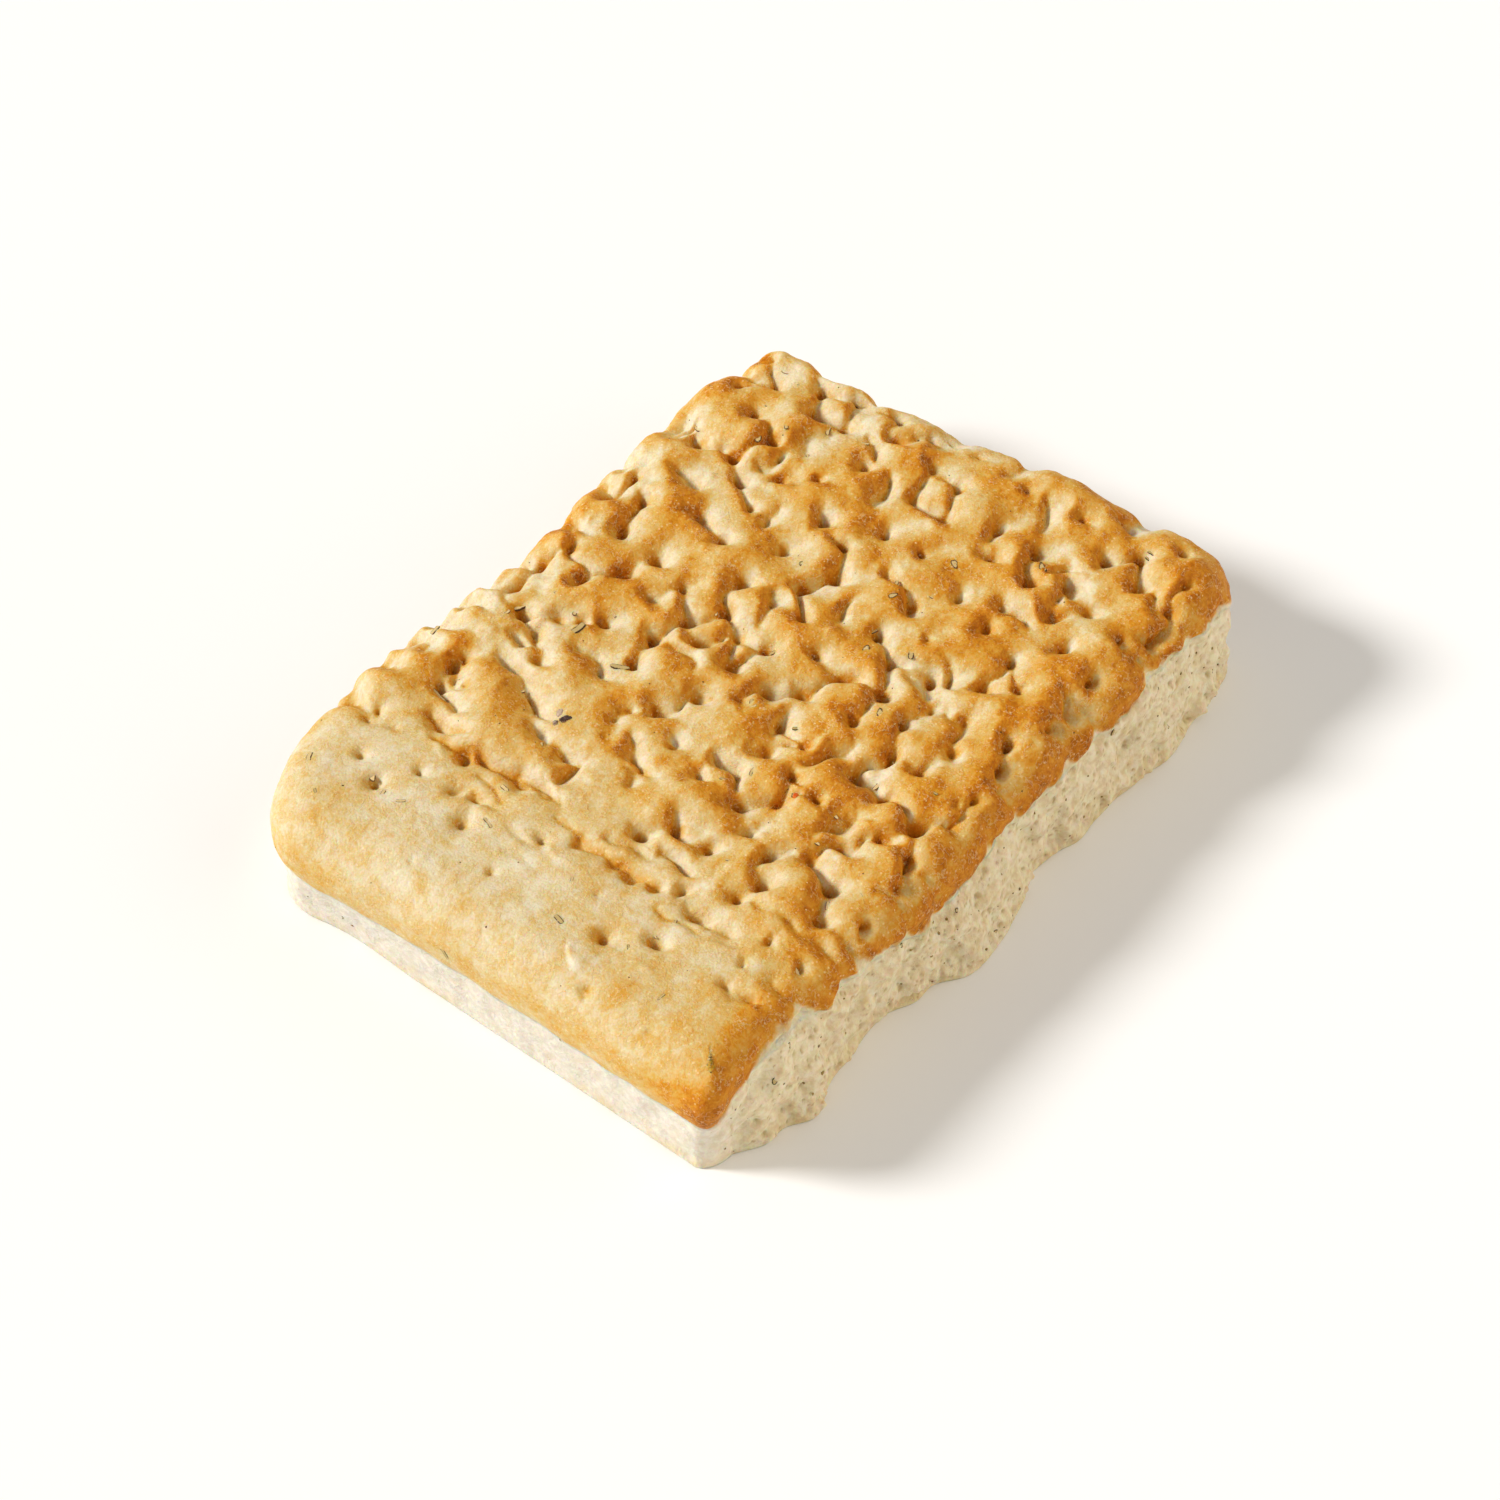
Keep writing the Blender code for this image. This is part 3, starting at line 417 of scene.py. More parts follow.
def beside(points, start, end):
    """How far each point is from the straight line between start and end, and how far along it, 0 to 1."""
    along = end - start
    t = np.clip((points - start) @ along / (along @ along), 0, 1)
    return leaning(points - start - t[:, None] * along), t


def dip(distance, size):
    """1 at no distance, falling off steeply at first, so that what lies between bulges like a cushion."""
    return np.exp(-DIP_RATE * distance / size)


def pillow_rise(x, y):
    """How far the raised pillows lift the crust."""
    rise = np.zeros(len(x))
    for at_x, at_y, length, width, heading, height in PILLOWS:
        cos, sin = math.cos(math.radians(heading)), math.sin(math.radians(heading))
        along = ((x - at_x) * cos + (y - at_y) * sin) / length
        across = ((y - at_y) * cos - (x - at_x) * sin) / width
        rise += height * np.exp(-(along**2 + across**2) ** 1.5)
    return rise


def crust_dips(points):
    """How deep pits, valleys and folds pin each point of the crust, as a soft and a sharp part."""
    upper = upper_side()
    scattered = list(PITS) + chance_pits()
    pits = np.array([on_crust(upper, x, y) for x, y, _ in scattered])
    depths = np.array([depth for _, _, depth in scattered])
    moved = points + np.stack([waves(points, WANDER, seed) for seed in (3, 4, 5)], 1)
    wide = np.zeros(len(points))
    sharp = np.zeros(len(points))
    for pit, depth in zip(pits, depths):
        size = FUNNEL * min(1, depth / FULL_PIT)
        wide += (FUNNEL_SHARE * depth * dip(leaning(moved - pit), size)) ** MERGE_POWER
        sharp += POINT_SHARE * depth * np.exp(-leaning(points - pit) / POINT)
    for start, end, depth, width in edge_folds():
        wide += (depth * dip(beside(moved, start, end)[0], width)) ** MERGE_POWER / 2
    for start, end, depth in saddles(pits, depths):
        away = beside(moved, start, end)[0]
        wide += (SADDLE_SHARE * depth * dip(away, SADDLE)) ** MERGE_POWER
        sharp += CREASE_SHARE * depth * np.exp(-away / CREASE)
    for x0, y0, x1, y1, depth, width in VALLEYS:
        away, t = beside(moved, on_crust(upper, x0, y0), on_crust(upper, x1, y1))
        local = depth * (1 - VALLEY_ENDS * (2 * t - 1) ** 2)
        wide += (local * dip(away, VALLEY_SIZE * width)) ** MERGE_POWER
        sharp += VALLEY_CREASE_SHARE * local * np.exp(-away / CREASE)
    return wide ** (1 / MERGE_POWER), sharp


# Grids of the fine surface
CRUST_CELL = 0.5
CRUST_TRIANGLES = 188000  # what is left of the crust once its flat stretches are thinned out
CRUST_ROWS = 28  # from the crust's lower edge up to the top
CRUMB_CELL = 0.44
CRUMB_ROWS = 48  # from the table up to the crust's lower edge
TUCK_ROWS = 3  # rows of the crumb that go up behind the crust
MARGIN_ROWS = 2  # rows made for their neighbours' normals, then dropped
EDGE_OVERLAP = 0.5  # how far under its lower edge the crust's mesh begins, and the crumb's tuck too
TUCK_DEPTH = 0.45  # how far the crumb draws in behind the crust
CRUST_CLOSING, CRUMB_CLOSING = 18.0, 20.0  # heights of the points that close the two meshes inside the slab
FOOT_INSETS = (4.0, 2.0, 1.0, 0.4)  # how far in the crumb's rows on the underside lie

# Fine unevenness of the surface, as (height, wavelength)
GRAIN = (0.03, 2.2)
SMOOTH_GRAIN = (0.03, 4.2)
SPONGE = (0.13, 3.4)
SPONGE_FINE = (0.04, 1.3)
FOOT_CRAGS = (0.36, 2.2)  # the torn foot's outline

# Raised skins over gas bubbles: x, y, radius, rise
BLISTERS = (
    (45, 2.5, 3.6, 0.9), (-4, 18, 3.0, 1.0), (20, -8, 2.2, 0.6), (-30, 58, 2.4, 0.6), (64, -6, 2.6, 0.7),
)

# Small sharp dents of the smooth end: x, y, radius, depth
DENTS = (
    (-97.5, -28.5, 1.0, 1.0), (-76, -14, 0.8, 0.7), (-95, 26, 0.8, 0.5), (-98, -47, 0.8, 0.6),
    (-82, 48.5, 1.1, 1.3), (-78, 56.5, 0.9, 1.0), (-79, 25, 1.2, 1.3), (-73.2, 32.7, 0.8, 0.8),
    (-84.5, -22.5, 1.3, 1.2), (-78, -32, 1.3, 1.2), (-86, 9.5, 1.0, 0.9), (-73.7, 42.2, 0.8, 0.7),
    (-71.4, 6.5, 0.8, 0.7),
)
# Its thin wrinkles, and where the rise is below 0 its grooves: x, y to x, y, rise, width
WRINKLES = (
    (-89, -18, -96, -24.5, 0.8, 1.5), (-86.5, -34.5, -85.5, -39.5, 0.5, 0.8),
    (-100, -31, -96.5, -25.5, -0.7, 0.8), (-72, -41, -66, -53, 0.35, 0.8),
    (-70.5, -41, -64.5, -51, -0.4, 0.8), (-88, -22, -86, -30, 0.35, 1.0),
    (-67, -29, -75, -27, 0.4, 0.8), (-76.5, -50, -79, -59, -0.6, 0.8), (-58, -49, -64, -60, 0.3, 0.8),
    (-80, 44, -73, 18, 0.3, 1.2), (-92, 8, -88, -12, 0.25, 1.2), (-72, 16, -74, -12, 0.4, 1.2),
    (-78, 20, -79, -6, -0.3, 1.2), (-64, 50, -66, 36, 0.5, 1.2), (-84, -42, -74, -64, 0.25, 1.2),
)

# Shallow creases between the smooth end and the docked field: x, y to x, y, depth
FINE_CREASE_WIDTH = 1.3
FINE_CREASES = (
    (-63.4, 46, -62.8, 37, 1.7), (-66.7, -1, -65.9, -12, 1.6), (-65.9, -12, -65.7, -22, 1.4),
    (-71.3, 31, -70.9, 25, 1.2), (-57.9, 53, -57.6, 42, 1.0), (-60.6, 34, -60.5, 9, 1.0),
    (-71.5, -28, -69.5, -38, 1.3), (-66, 30, -67.5, 22, 1.0), (-74, 14, -73.5, 6, 0.8),
    (-64.5, 8, -66, -2, 1.0),
)
FINE_WANDER = (0.5, 7.0)  # how far wrinkles and shallow creases stray from straight lines
DOCKED_FROM = (-6, 4)  # from where to where, past SMOOTH_END, the docked field's unevenness comes in

# Spots darker or paler than their surroundings: x, y, radius, brownness
SPOTS = (
    (-19, 57.6, 2.2, 0.25), (-97.5, -29, 1.4, 0.3), (45, 2.5, 1.8, -0.12), (-29.9, 17.7, 1.7, -0.22),
    (-29.3, 43.7, 1.8, -0.2), (-45.2, 53.1, 1.8, -0.2), (-22, 49.6, 1.5, -0.2),
    (-91, -19.5, 1.5, -0.25), (-94.5, -23, 1.6, -0.25), (-94, -36, 5.0, 0.14), (-78, -61, 7.0, 0.12),
    (-57, -59, 6.0, 0.1), (-25, -30, 6.0, 0.1), (52, 62, 5.0, 0.12),
)

# How brown the crust is, from 0, pale dough, to 1, dark: baked browning, with some painted light and shade
SMOOTH_BROWN = 0.19
FIELD_BROWN = 0.14  # what the docked field has on top of that
BROWN_FROM = (-18, 34)  # from where to where, past SMOOTH_END, the docked field's deeper brown comes in
BROWN_DRIFT = (0.035, 34)  # unevenness, as (brownness, wavelength)
FIELD_PATCHES = (0.05, 15)
SMOOTH_PATCHES = (0.04, 8)
MOST_PAINTED_LIGHT = 0.28  # the most that painted light and shade change it: paler leaning towards the key light, browner leaning away
PALE_EDGE = 0.30  # how much paler the crust's lower edge is
BROWN_KNEE = (0.7, 0.35)  # above this brownness, only this share of the rest counts

RAGGED_EDGE = ((0.5, 9), (0.3, 2.5))  # how the crust's lower edge strays along the torn side
FOLD_LIFT = (2.4, 1.8)  # how far the torn side's crust ends higher at a fold, and the width of that

# The lights: name, heading to each, its height and size in degrees, strength and colour
LIGHTS = (
    ("key", (-0.62, 0.78), 33.0, 14.0, 2.42, (1.0, 0.985, 0.97)),
    ("fill", (0.45, -0.89), 30.0, 70.0, 0.85, (1.0, 0.92, 0.80)),
)
ROOM_STRENGTH = 0.38
ROOM_COLOUR = (1.0, 0.97, 0.93)

PORES = 800
PORE_RADII = (0.3, 1.3)

# Bits in the sides: x, y, z, heading in degrees, length, width
SIDE_BITS = (
    (-85.5, -74, 20.8, 60, 2.6, 1.7), (-35.4, -74, 23.3, 100, 1.5, 1.1), (-7.5, -78, 5.0, 20, 1.8, 1.4),
    (-18, -76, 20.9, 60, 1.3, 0.9), (45.4, -75, 23.6, 45, 3.4, 0.9), (-76, -73, 28.0, 80, 1.6, 0.8),
    (65, -76, 11.2, 120, 2.0, 0.7), (-102, 43, 7.7, 80, 1.1, 0.7), (-103, -24.6, 17.6, 20, 1.6, 0.9),
    (-103.4, 8.6, 25.0, 120, 4.4, 1.3),
)
OLIVE_WIDTH = 2.5  # the only bit of HERBS as wide as this is the olive fragment, made on its own
SMALL_HERBS = 46
HERB_SUNK, CRUMBLED_SUNK, SIDE_SUNK = 0.12, 0.1, 0.15  # how deep the middles of herb bits lie under the skin
LEAST_NEEDLE = 2.1  # a bit longer than this many widths is a needle, any other a flake

# The olive fragment's lumps: x, y, heading in degrees, half sizes, how pale
OLIVE_LUMPS = (
    (-39.9, 25.0, -30, (1.5, 0.75, 0.6), 0.0), (-41.9, 26.6, 10, (0.8, 0.6, 0.5), 0.4),
    (-39.2, 27.6, 20, (1.3, 0.8, 0.4), 1.0),
)
OLIVE_UNEVEN = (0.16, 1.1)  # (height, wavelength)
OLIVE_SUNK = 0.1
RED_BIT = (-25, -32, 20, (1.0, 0.8, 0.4))  # the one reddish scrap: x, y, heading, half sizes

# Specks by chance: how many, and their least and largest radius
CRUST_SPECKS = (90, (0.12, 0.27))
PALE_GRAINS = (700, (0.09, 0.24))
CRUMB_SPECKS = (90, (0.15, 0.55))
SPECK_HEIGHT = 0.6  # in shares of their radius

# Where the camera stands
CAMERA_HEADING = -51.53
CAMERA_HEIGHT = 50.1
CAMERA_DISTANCE = 1191.0
CAMERA_TARGET = (-9.5, -6.0, 20.0)
LENS, SENSOR = 120, 36
FLOOR_REACH = 3  # metres


def astray(x, y):
    """Plan places, a little astray from where they are."""
    flat = np.stack([x, y, 0 * x], 1)
    return flat + np.stack([waves(flat, FINE_WANDER, 46), waves(flat, FINE_WANDER, 47), 0 * x], 1)


def docked_share(x, ramp):
    """0 on the smooth end, 1 on the docked field, and a smooth rise over the ramp past SMOOTH_END."""
    return step(SMOOTH_END + ramp[0], SMOOTH_END + ramp[1], x)


def bread_shape(box, normals_of):
    """The bread's fine surface for points on the box, and what its colours need to know of each point."""
    plain = plain_slab(box)
    normals = normals_of(plain)
    x, y, z = plain.T
    notch = notch_height(x, y)
    side = 1 - np.abs(normals[:, 2])
    crust = z > notch - 1
    fade = step(notch - 1, notch + 6, z)
    docked = docked_share(x, DOCKED_FROM)
    wide, sharp = np.zeros(len(box)), np.zeros(len(box))
    wide[crust], sharp[crust] = crust_dips(plain[crust])
    rise = pillow_rise(x, y) + waves(plain, SMOOTH_DENTS, 11)
    rise += docked * (waves(plain, DOCKED_DENTS, 11) + waves(plain, DOCKED_RIPPLES, 12))
    plan, above = astray(x, y), z > WIDEST
    for at_x, at_y, radius, height in BLISTERS:
        rise += height * np.exp(-((np.hypot(x - at_x, y - at_y) / radius) ** 4)) * above
    for at_x, at_y, radius, depth in DENTS:
        away = leaning(np.stack([x - at_x, y - at_y, 0 * x], 1))
        sharp += depth * np.exp(-((away / radius) ** 1.5)) * above
    for x0, y0, x1, y1, depth in FINE_CREASES:
        away, _ = beside(plan, np.array((x0, y0, 0.0)), np.array((x1, y1, 0.0)))
        sharp += depth * np.exp(-away / FINE_CREASE_WIDTH) * above
    for x0, y0, x1, y1, height, width in WRINKLES:
        away, t = beside(plan, np.array((x0, y0, 0.0)), np.array((x1, y1, 0.0)))
        rise += height * np.exp(-((away / width) ** 2)) * np.clip(4 * t * (1 - t), 0, 1) * above
    fine = docked * waves(plain, GRAIN, 41) + waves(plain, SMOOTH_GRAIN, 42)
    outward = fade * (rise + fine - wide - sharp)
    front = (1 - end_weight(x / HALF_LENGTH, y / HALF_WIDTH)) * (y < 0)
    band = (1 - fade) * side * step(0.5, 3, z)
    outward += band * waves(plain, BAND_LUMPS, 21)
    outward += band * front * (waves(plain, CRUMB_LUMPS, 21) + waves(plain, CRUMB_PORES, 22))
    outward += band * (0.25 + 0.75 * front) * (waves(plain, SPONGE, 43) + waves(plain, SPONGE_FINE, 44))
    outward += band * front * step(12, 1, z) * waves(plain * (1, 1, 0.3), FOOT_CRAGS, 45)
    points = plain + normals * outward[:, None]
    points[:, 2] = np.where(box[:, 2] <= 0, 0, np.maximum(points[:, 2], 0))
    facts = {
        "plain": plain, "normals": normals, "notch": notch, "front": front, "docked": docked,
        "relief": rise - wide, "pit": sharp, "fade": fade,
        # slope: how far the surface leans towards the key light, used for painted light and shade
        "slope": (normals_of(points) - normals) @ STEEP_SIDE,
    }
    return points, facts


def box_grid(cell):
    """The box's top as a grid: points, quads, and its outline as indices, seen counter-clockwise."""
    nx, ny = round(2 * HALF_LENGTH / cell), round(2 * HALF_WIDTH / cell)
    along = np.linspace(-HALF_LENGTH, HALF_LENGTH, nx + 1)
    across = np.linspace(-HALF_WIDTH, HALF_WIDTH, ny + 1)
    x, y = np.meshgrid(along, across)
    points = np.stack([x.ravel(), y.ravel(), np.full(x.size, HEIGHT)], 1)
    index = np.arange(x.size).reshape(ny + 1, nx + 1)
    quads = np.stack([index[:-1, :-1], index[:-1, 1:], index[1:, 1:], index[1:, :-1]], -1).reshape(-1, 4)
    outline = np.concatenate([index[0, :-1], index[:-1, -1], index[-1, :0:-1], index[:0:-1, 0]])
    return points, quads, outline


def strips(rows):
    """Quads between rows of indices that each run right round the slab."""
    rows = np.array(rows)
    low, high = rows[:-1], rows[1:]
    after_low, after_high = np.roll(low, -1, 1), np.roll(high, -1, 1)
    return np.stack([low, after_low, after_high, high], -1).reshape(-1, 4)


def crust_grid():
    """The box above the crust's lower edge: points, all quads, quads to keep, and the lowest kept row."""
    points, top, outline = box_grid(CRUST_CELL)
    ring = points[outline]
    low = notch_height(ring[:, 0], ring[:, 1]) - EDGE_OVERLAP
    rows, extra = [], []
    count = len(points)
    for k in range(-MARGIN_ROWS, CRUST_ROWS):
        level = ring.copy()
        level[:, 2] = low + (HEIGHT - low) * k / CRUST_ROWS
        extra.append(level)
        rows.append(count + np.arange(len(ring)))
        count += len(ring)
    rows.append(outline)
    kept = np.concatenate([top, strips(rows[MARGIN_ROWS:])])
    return np.concatenate([points, *extra]), np.concatenate([top, strips(rows)]), kept, rows[MARGIN_ROWS]


def crumb_grid():
    """The box's sides up to the crust, and the rim of its underside, as crust_grid gives the crust."""
    top, _, outline = box_grid(CRUMB_CELL)
    ring = top[outline]
    low = notch_height(ring[:, 0], ring[:, 1]) - EDGE_OVERLAP
    levels = []
    for inset in FOOT_INSETS:
        shrink = np.array((1 - inset / HALF_LENGTH, 1 - inset / HALF_WIDTH, 0))
        levels.append(ring * shrink)
    for k in range(CRUMB_ROWS + TUCK_ROWS + MARGIN_ROWS + 1):
        level = ring.copy()
        level[:, 2] = low * k / CRUMB_ROWS
        levels.append(level)
    rows = np.arange(len(levels) * len(ring)).reshape(len(levels), -1)
    kept = strips(rows[: len(rows) - MARGIN_ROWS])
    return np.concatenate(levels), strips(rows), kept, rows[0], rows[-1 - MARGIN_ROWS]


def mesh_of(name, points, faces, attributes):
    """A mesh in metres, without the points that no face uses, with a float attribute for each name."""
    used = np.unique(np.concatenate([np.ravel(face) for face in faces]))
    place = np.full(len(points), -1)
    place[used] = np.arange(len(used))
    mesh = bpy.data.meshes.new(name)
    all_faces = [face for group in faces for face in place[group].tolist()]
    mesh.from_pydata((points[used] * MM).tolist(), [], all_faces)
    for key, values in attributes.items():
        layer = mesh.attributes.new(key, "FLOAT", "POINT")
        layer.data.foreach_set("value", values[used].astype(np.float32))
    mesh.shade_smooth()
    return mesh


def normals_on(points, quads):
    """A function that gives the vertex normals of the quads for any positions of their points."""
    mesh = bpy.data.meshes.new("for_normals")
    mesh.from_pydata(points.tolist(), [], quads.tolist())

    def normals_of(moved):
        mesh.vertices.foreach_set("co", moved.astype(np.float32).ravel())
        mesh.update()
        flat = np.empty(len(moved) * 3, np.float32)
        mesh.vertices.foreach_get("normal", flat)
        return flat.reshape(-1, 3).astype(float)

    return normals_of


def fan(ring, centre, upward):
    """Triangles that close a ring of indices towards the centre's index."""
    after = np.roll(ring, -1)
    middle = np.full(len(ring), centre)
    return np.stack([ring, after, middle] if upward else [after, ring, middle], 1)


def hollow(points, normals, centres, radii, depths):
    """Round hollows pressed into a surface, and how deep each point lies in one, from 0 to 1."""
    tree = kdtree.KDTree(len(points))
    for i, point in enumerate(points):
        tree.insert(point, i)
    tree.balance()
    deep = np.zeros(len(points))
    inside = np.zeros(len(points))
    for centre, radius, depth in zip(centres, radii, depths):
        for _, i, distance in tree.find_range(centre, radius):
            share = (1 - (distance / radius) ** 2) ** 1.5
            deep[i] = max(deep[i], depth * share)
            inside[i] = max(inside[i], share)
    return points - normals * deep[:, None], inside


def brown_and_painted_shade(facts):
    """How brown the crust is at each point, from 0, pale dough, to 1, dark: baked browning, with painted
    light and shade on leaning slopes and in pits and dents.
    """
    plain, relief, notch, fade = (facts[key] for key in ("plain", "relief", "notch", "fade"))
    x, y, z = plain.T
    pitted = facts["pit"] * fade
    docked = docked_share(x, BROWN_FROM)
    # each part by itself: browner towards the torn side, on the field's high places, and on the smooth end's
    # low places, where it is partly painted shade in the dents
    brown = SMOOTH_BROWN + (1 - docked) * (
        0.13 * step(-25, -60, y) + 0.05 * step(10, 50, y) + 0.12 * step(-0.7, -2.5, relief)
    )
    brown += docked * (
        FIELD_BROWN + 0.06 * step(-40, 20, x) + 0.08 * step(30, -60, y) + 0.4 * (step(-4, 0, relief) - 0.65)
    )
    # painted light and shade: paler where the surface leans towards STEEP_SIDE, the key light's heading,
    # browner where it leans away from it
    brown -= fade * np.clip((0.25 + 0.42 * docked) * facts["slope"], -MOST_PAINTED_LIGHT, MOST_PAINTED_LIGHT)
    brown += waves(plain, BROWN_DRIFT, 61) + docked * waves(plain, FIELD_PATCHES, 62)
    brown += (1 - docked) * waves(plain, SMOOTH_PATCHES, 63)
    for at_x, at_y, radius, added in SPOTS:
        brown += added * fade * np.exp(-((np.hypot(x - at_x, y - at_y) / radius) ** 2))
    # the sides, where the crust has rolled over the edge, and the rim along the torn side
    over_edge = step(HEIGHT - 3.5, HEIGHT - 11, z)
    ends = end_weight(x / HALF_LENGTH, y / HALF_WIDTH)
    front, back = (1 - ends) * (y < 0), (1 - ends) * (y > 0)
    left, right = ends * (x < 0), ends * (x > 0)
    brown += over_edge * (0.30 * front + 0.20 * right + 0.05 * back)
    brown += over_edge * left * (0.12 + 0.18 * step(-50, -68, y))
    brown += (0.12 + 0.18 * (1 - docked)) * step(-HALF_WIDTH + 14, -HALF_WIDTH + 3, y)
    # a pale lower edge, and pits browner, partly baked and partly painted shade
    brown -= PALE_EDGE * front * step(notch + 1.6, notch, z - fold_lift(x))
    brown -= PALE_EDGE * (right + back) * step(notch + 4.5, notch, z)
    brown += (0.2 + 0.28 * docked) * step(0.3, 1.5, pitted)
    knee, share = BROWN_KNEE
    brown = np.where(brown > knee, knee + share * (brown - knee), brown)
    # the least brownness of the docked field: on the right side's rolled edge, along the torn side, and in
    # the pits, where it is painted shade
    least = 0.11 + 0.2 * over_edge * right + 0.28 * step(-55, -67, y) + 0.12 * step(0.3, 1.5, pitted)
    return np.clip(np.maximum(brown, docked * least), 0, 1)


def fold_lift(x):
    """How far the crust's lower edge is drawn up at the torn side's folds."""
    height, width = FOLD_LIFT
    return height * sum(np.exp(-(((x - place) / width) ** 2)) for place in FOLDS["front"][2])


def crustness(facts):
    """1 on the crust, 0 on the pale band and the torn crumb, a little ragged along the torn side."""
    x, z, notch, front = facts["plain"][:, 0], facts["plain"][:, 2], facts["notch"], facts["front"]
    ragged = sum(waves(facts["plain"], size, seed) for size, seed in zip(RAGGED_EDGE, (71, 72)))
    crisp = step(notch - 0.4, notch + 0.5, z)
    soft = step(notch - 0.9, notch + 0.9, z + ragged - fold_lift(x))
    return crisp * (1 - front) + soft * front


def colour_facts(facts, pore):
    """What the bread's material reads at each point."""
    return {
        "crustness": crustness(facts),
        "brown": brown_and_painted_shade(facts),
        "pore": pore,
        "front": facts["front"],
        "low": step(7, 0, facts["plain"][:, 2]),
    }


def fit_to_box(points, low, high):
    """Sets plan millimetres of the shape rules on the solid's own box."""
    box_low, box_high = (np.array(corner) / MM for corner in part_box(NODE))
    scale = (box_high - box_low) / (high - low)
    return box_low + (points - low) * scale


def linked(name, data):
    """A new object in the scene that shows the data."""
    obj = bpy.data.objects.new(name, data)
    bpy.context.scene.collection.objects.link(obj)
    return obj


def new_piece(name, mesh, materials):
    """A visible piece of the bread, in the place of the solid."""
    obj = linked(name, mesh)
    for material in materials:
        mesh.materials.append(material)
    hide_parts(NODE)
    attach(obj, "root")
    return obj


# Materials

# Colours, along a ramp with the place of each
CRUST_TONES = (
    (0.00, (0.77, 0.69, 0.51)), (0.14, (0.73, 0.61, 0.38)), (0.30, (0.70, 0.51, 0.22)),
    (0.46, (0.69, 0.41, 0.095)), (0.62, (0.66, 0.30, 0.022)), (0.78, (0.54, 0.19, 0.004)),
    (1.00, (0.26, 0.07, 0.002)),
)
CRUMB_TONES = ((0.0, (0.74, 0.60, 0.38)), (0.5, (0.82, 0.71, 0.49)), (1.0, (0.87, 0.78, 0.58)))
UNDERSIDE_TONES = ((0.0, (0.80, 0.60, 0.32)), (0.5, (0.70, 0.43, 0.15)), (1.0, (0.54, 0.28, 0.07)))
OLIVE_TONES = ((0.30, (0.035, 0.018, 0.014)), (0.5, (0.11, 0.06, 0.045)), (0.8, (0.56, 0.42, 0.31)))

# Pairs of colours that noise mixes
BAND_TONES = (0.71, 0.645, 0.53), (0.82, 0.775, 0.67)
HERB_FACE = (0.78, 0.59, 0.30), (0.42, 0.31, 0.11)
HERB_RIM = (0.13, 0.055, 0.012), (0.05, 0.035, 0.010)
DARK_SPECK = (0.10, 0.055, 0.02), (0.25, 0.15, 0.05)
PALE_GRAIN = (0.78, 0.51, 0.19), (0.88, 0.69, 0.38)
CRUMB_SPECK = (0.20, 0.13, 0.04), (0.42, 0.30, 0.11)
REDDISH = (0.62, 0.10, 0.015), (0.70, 0.24, 0.04)
FLOOR_TONES = (0.93, 0.93, 0.925), (0.945, 0.945, 0.94)

# Colours laid over the bread's: dough threads and flour on the crust, stains and a golden foot on the crumb,
# and painted shade in its pores
THREAD, FLOUR = (0.88, 0.71, 0.43), (0.90, 0.74, 0.46)
CRUMB_STAIN, BAND_STAIN = (0.66, 0.51, 0.26), (0.74, 0.62, 0.43)
GOLDEN_FOOT, PORE_SHADE = (0.74, 0.56, 0.28), (0.50, 0.35, 0.14)


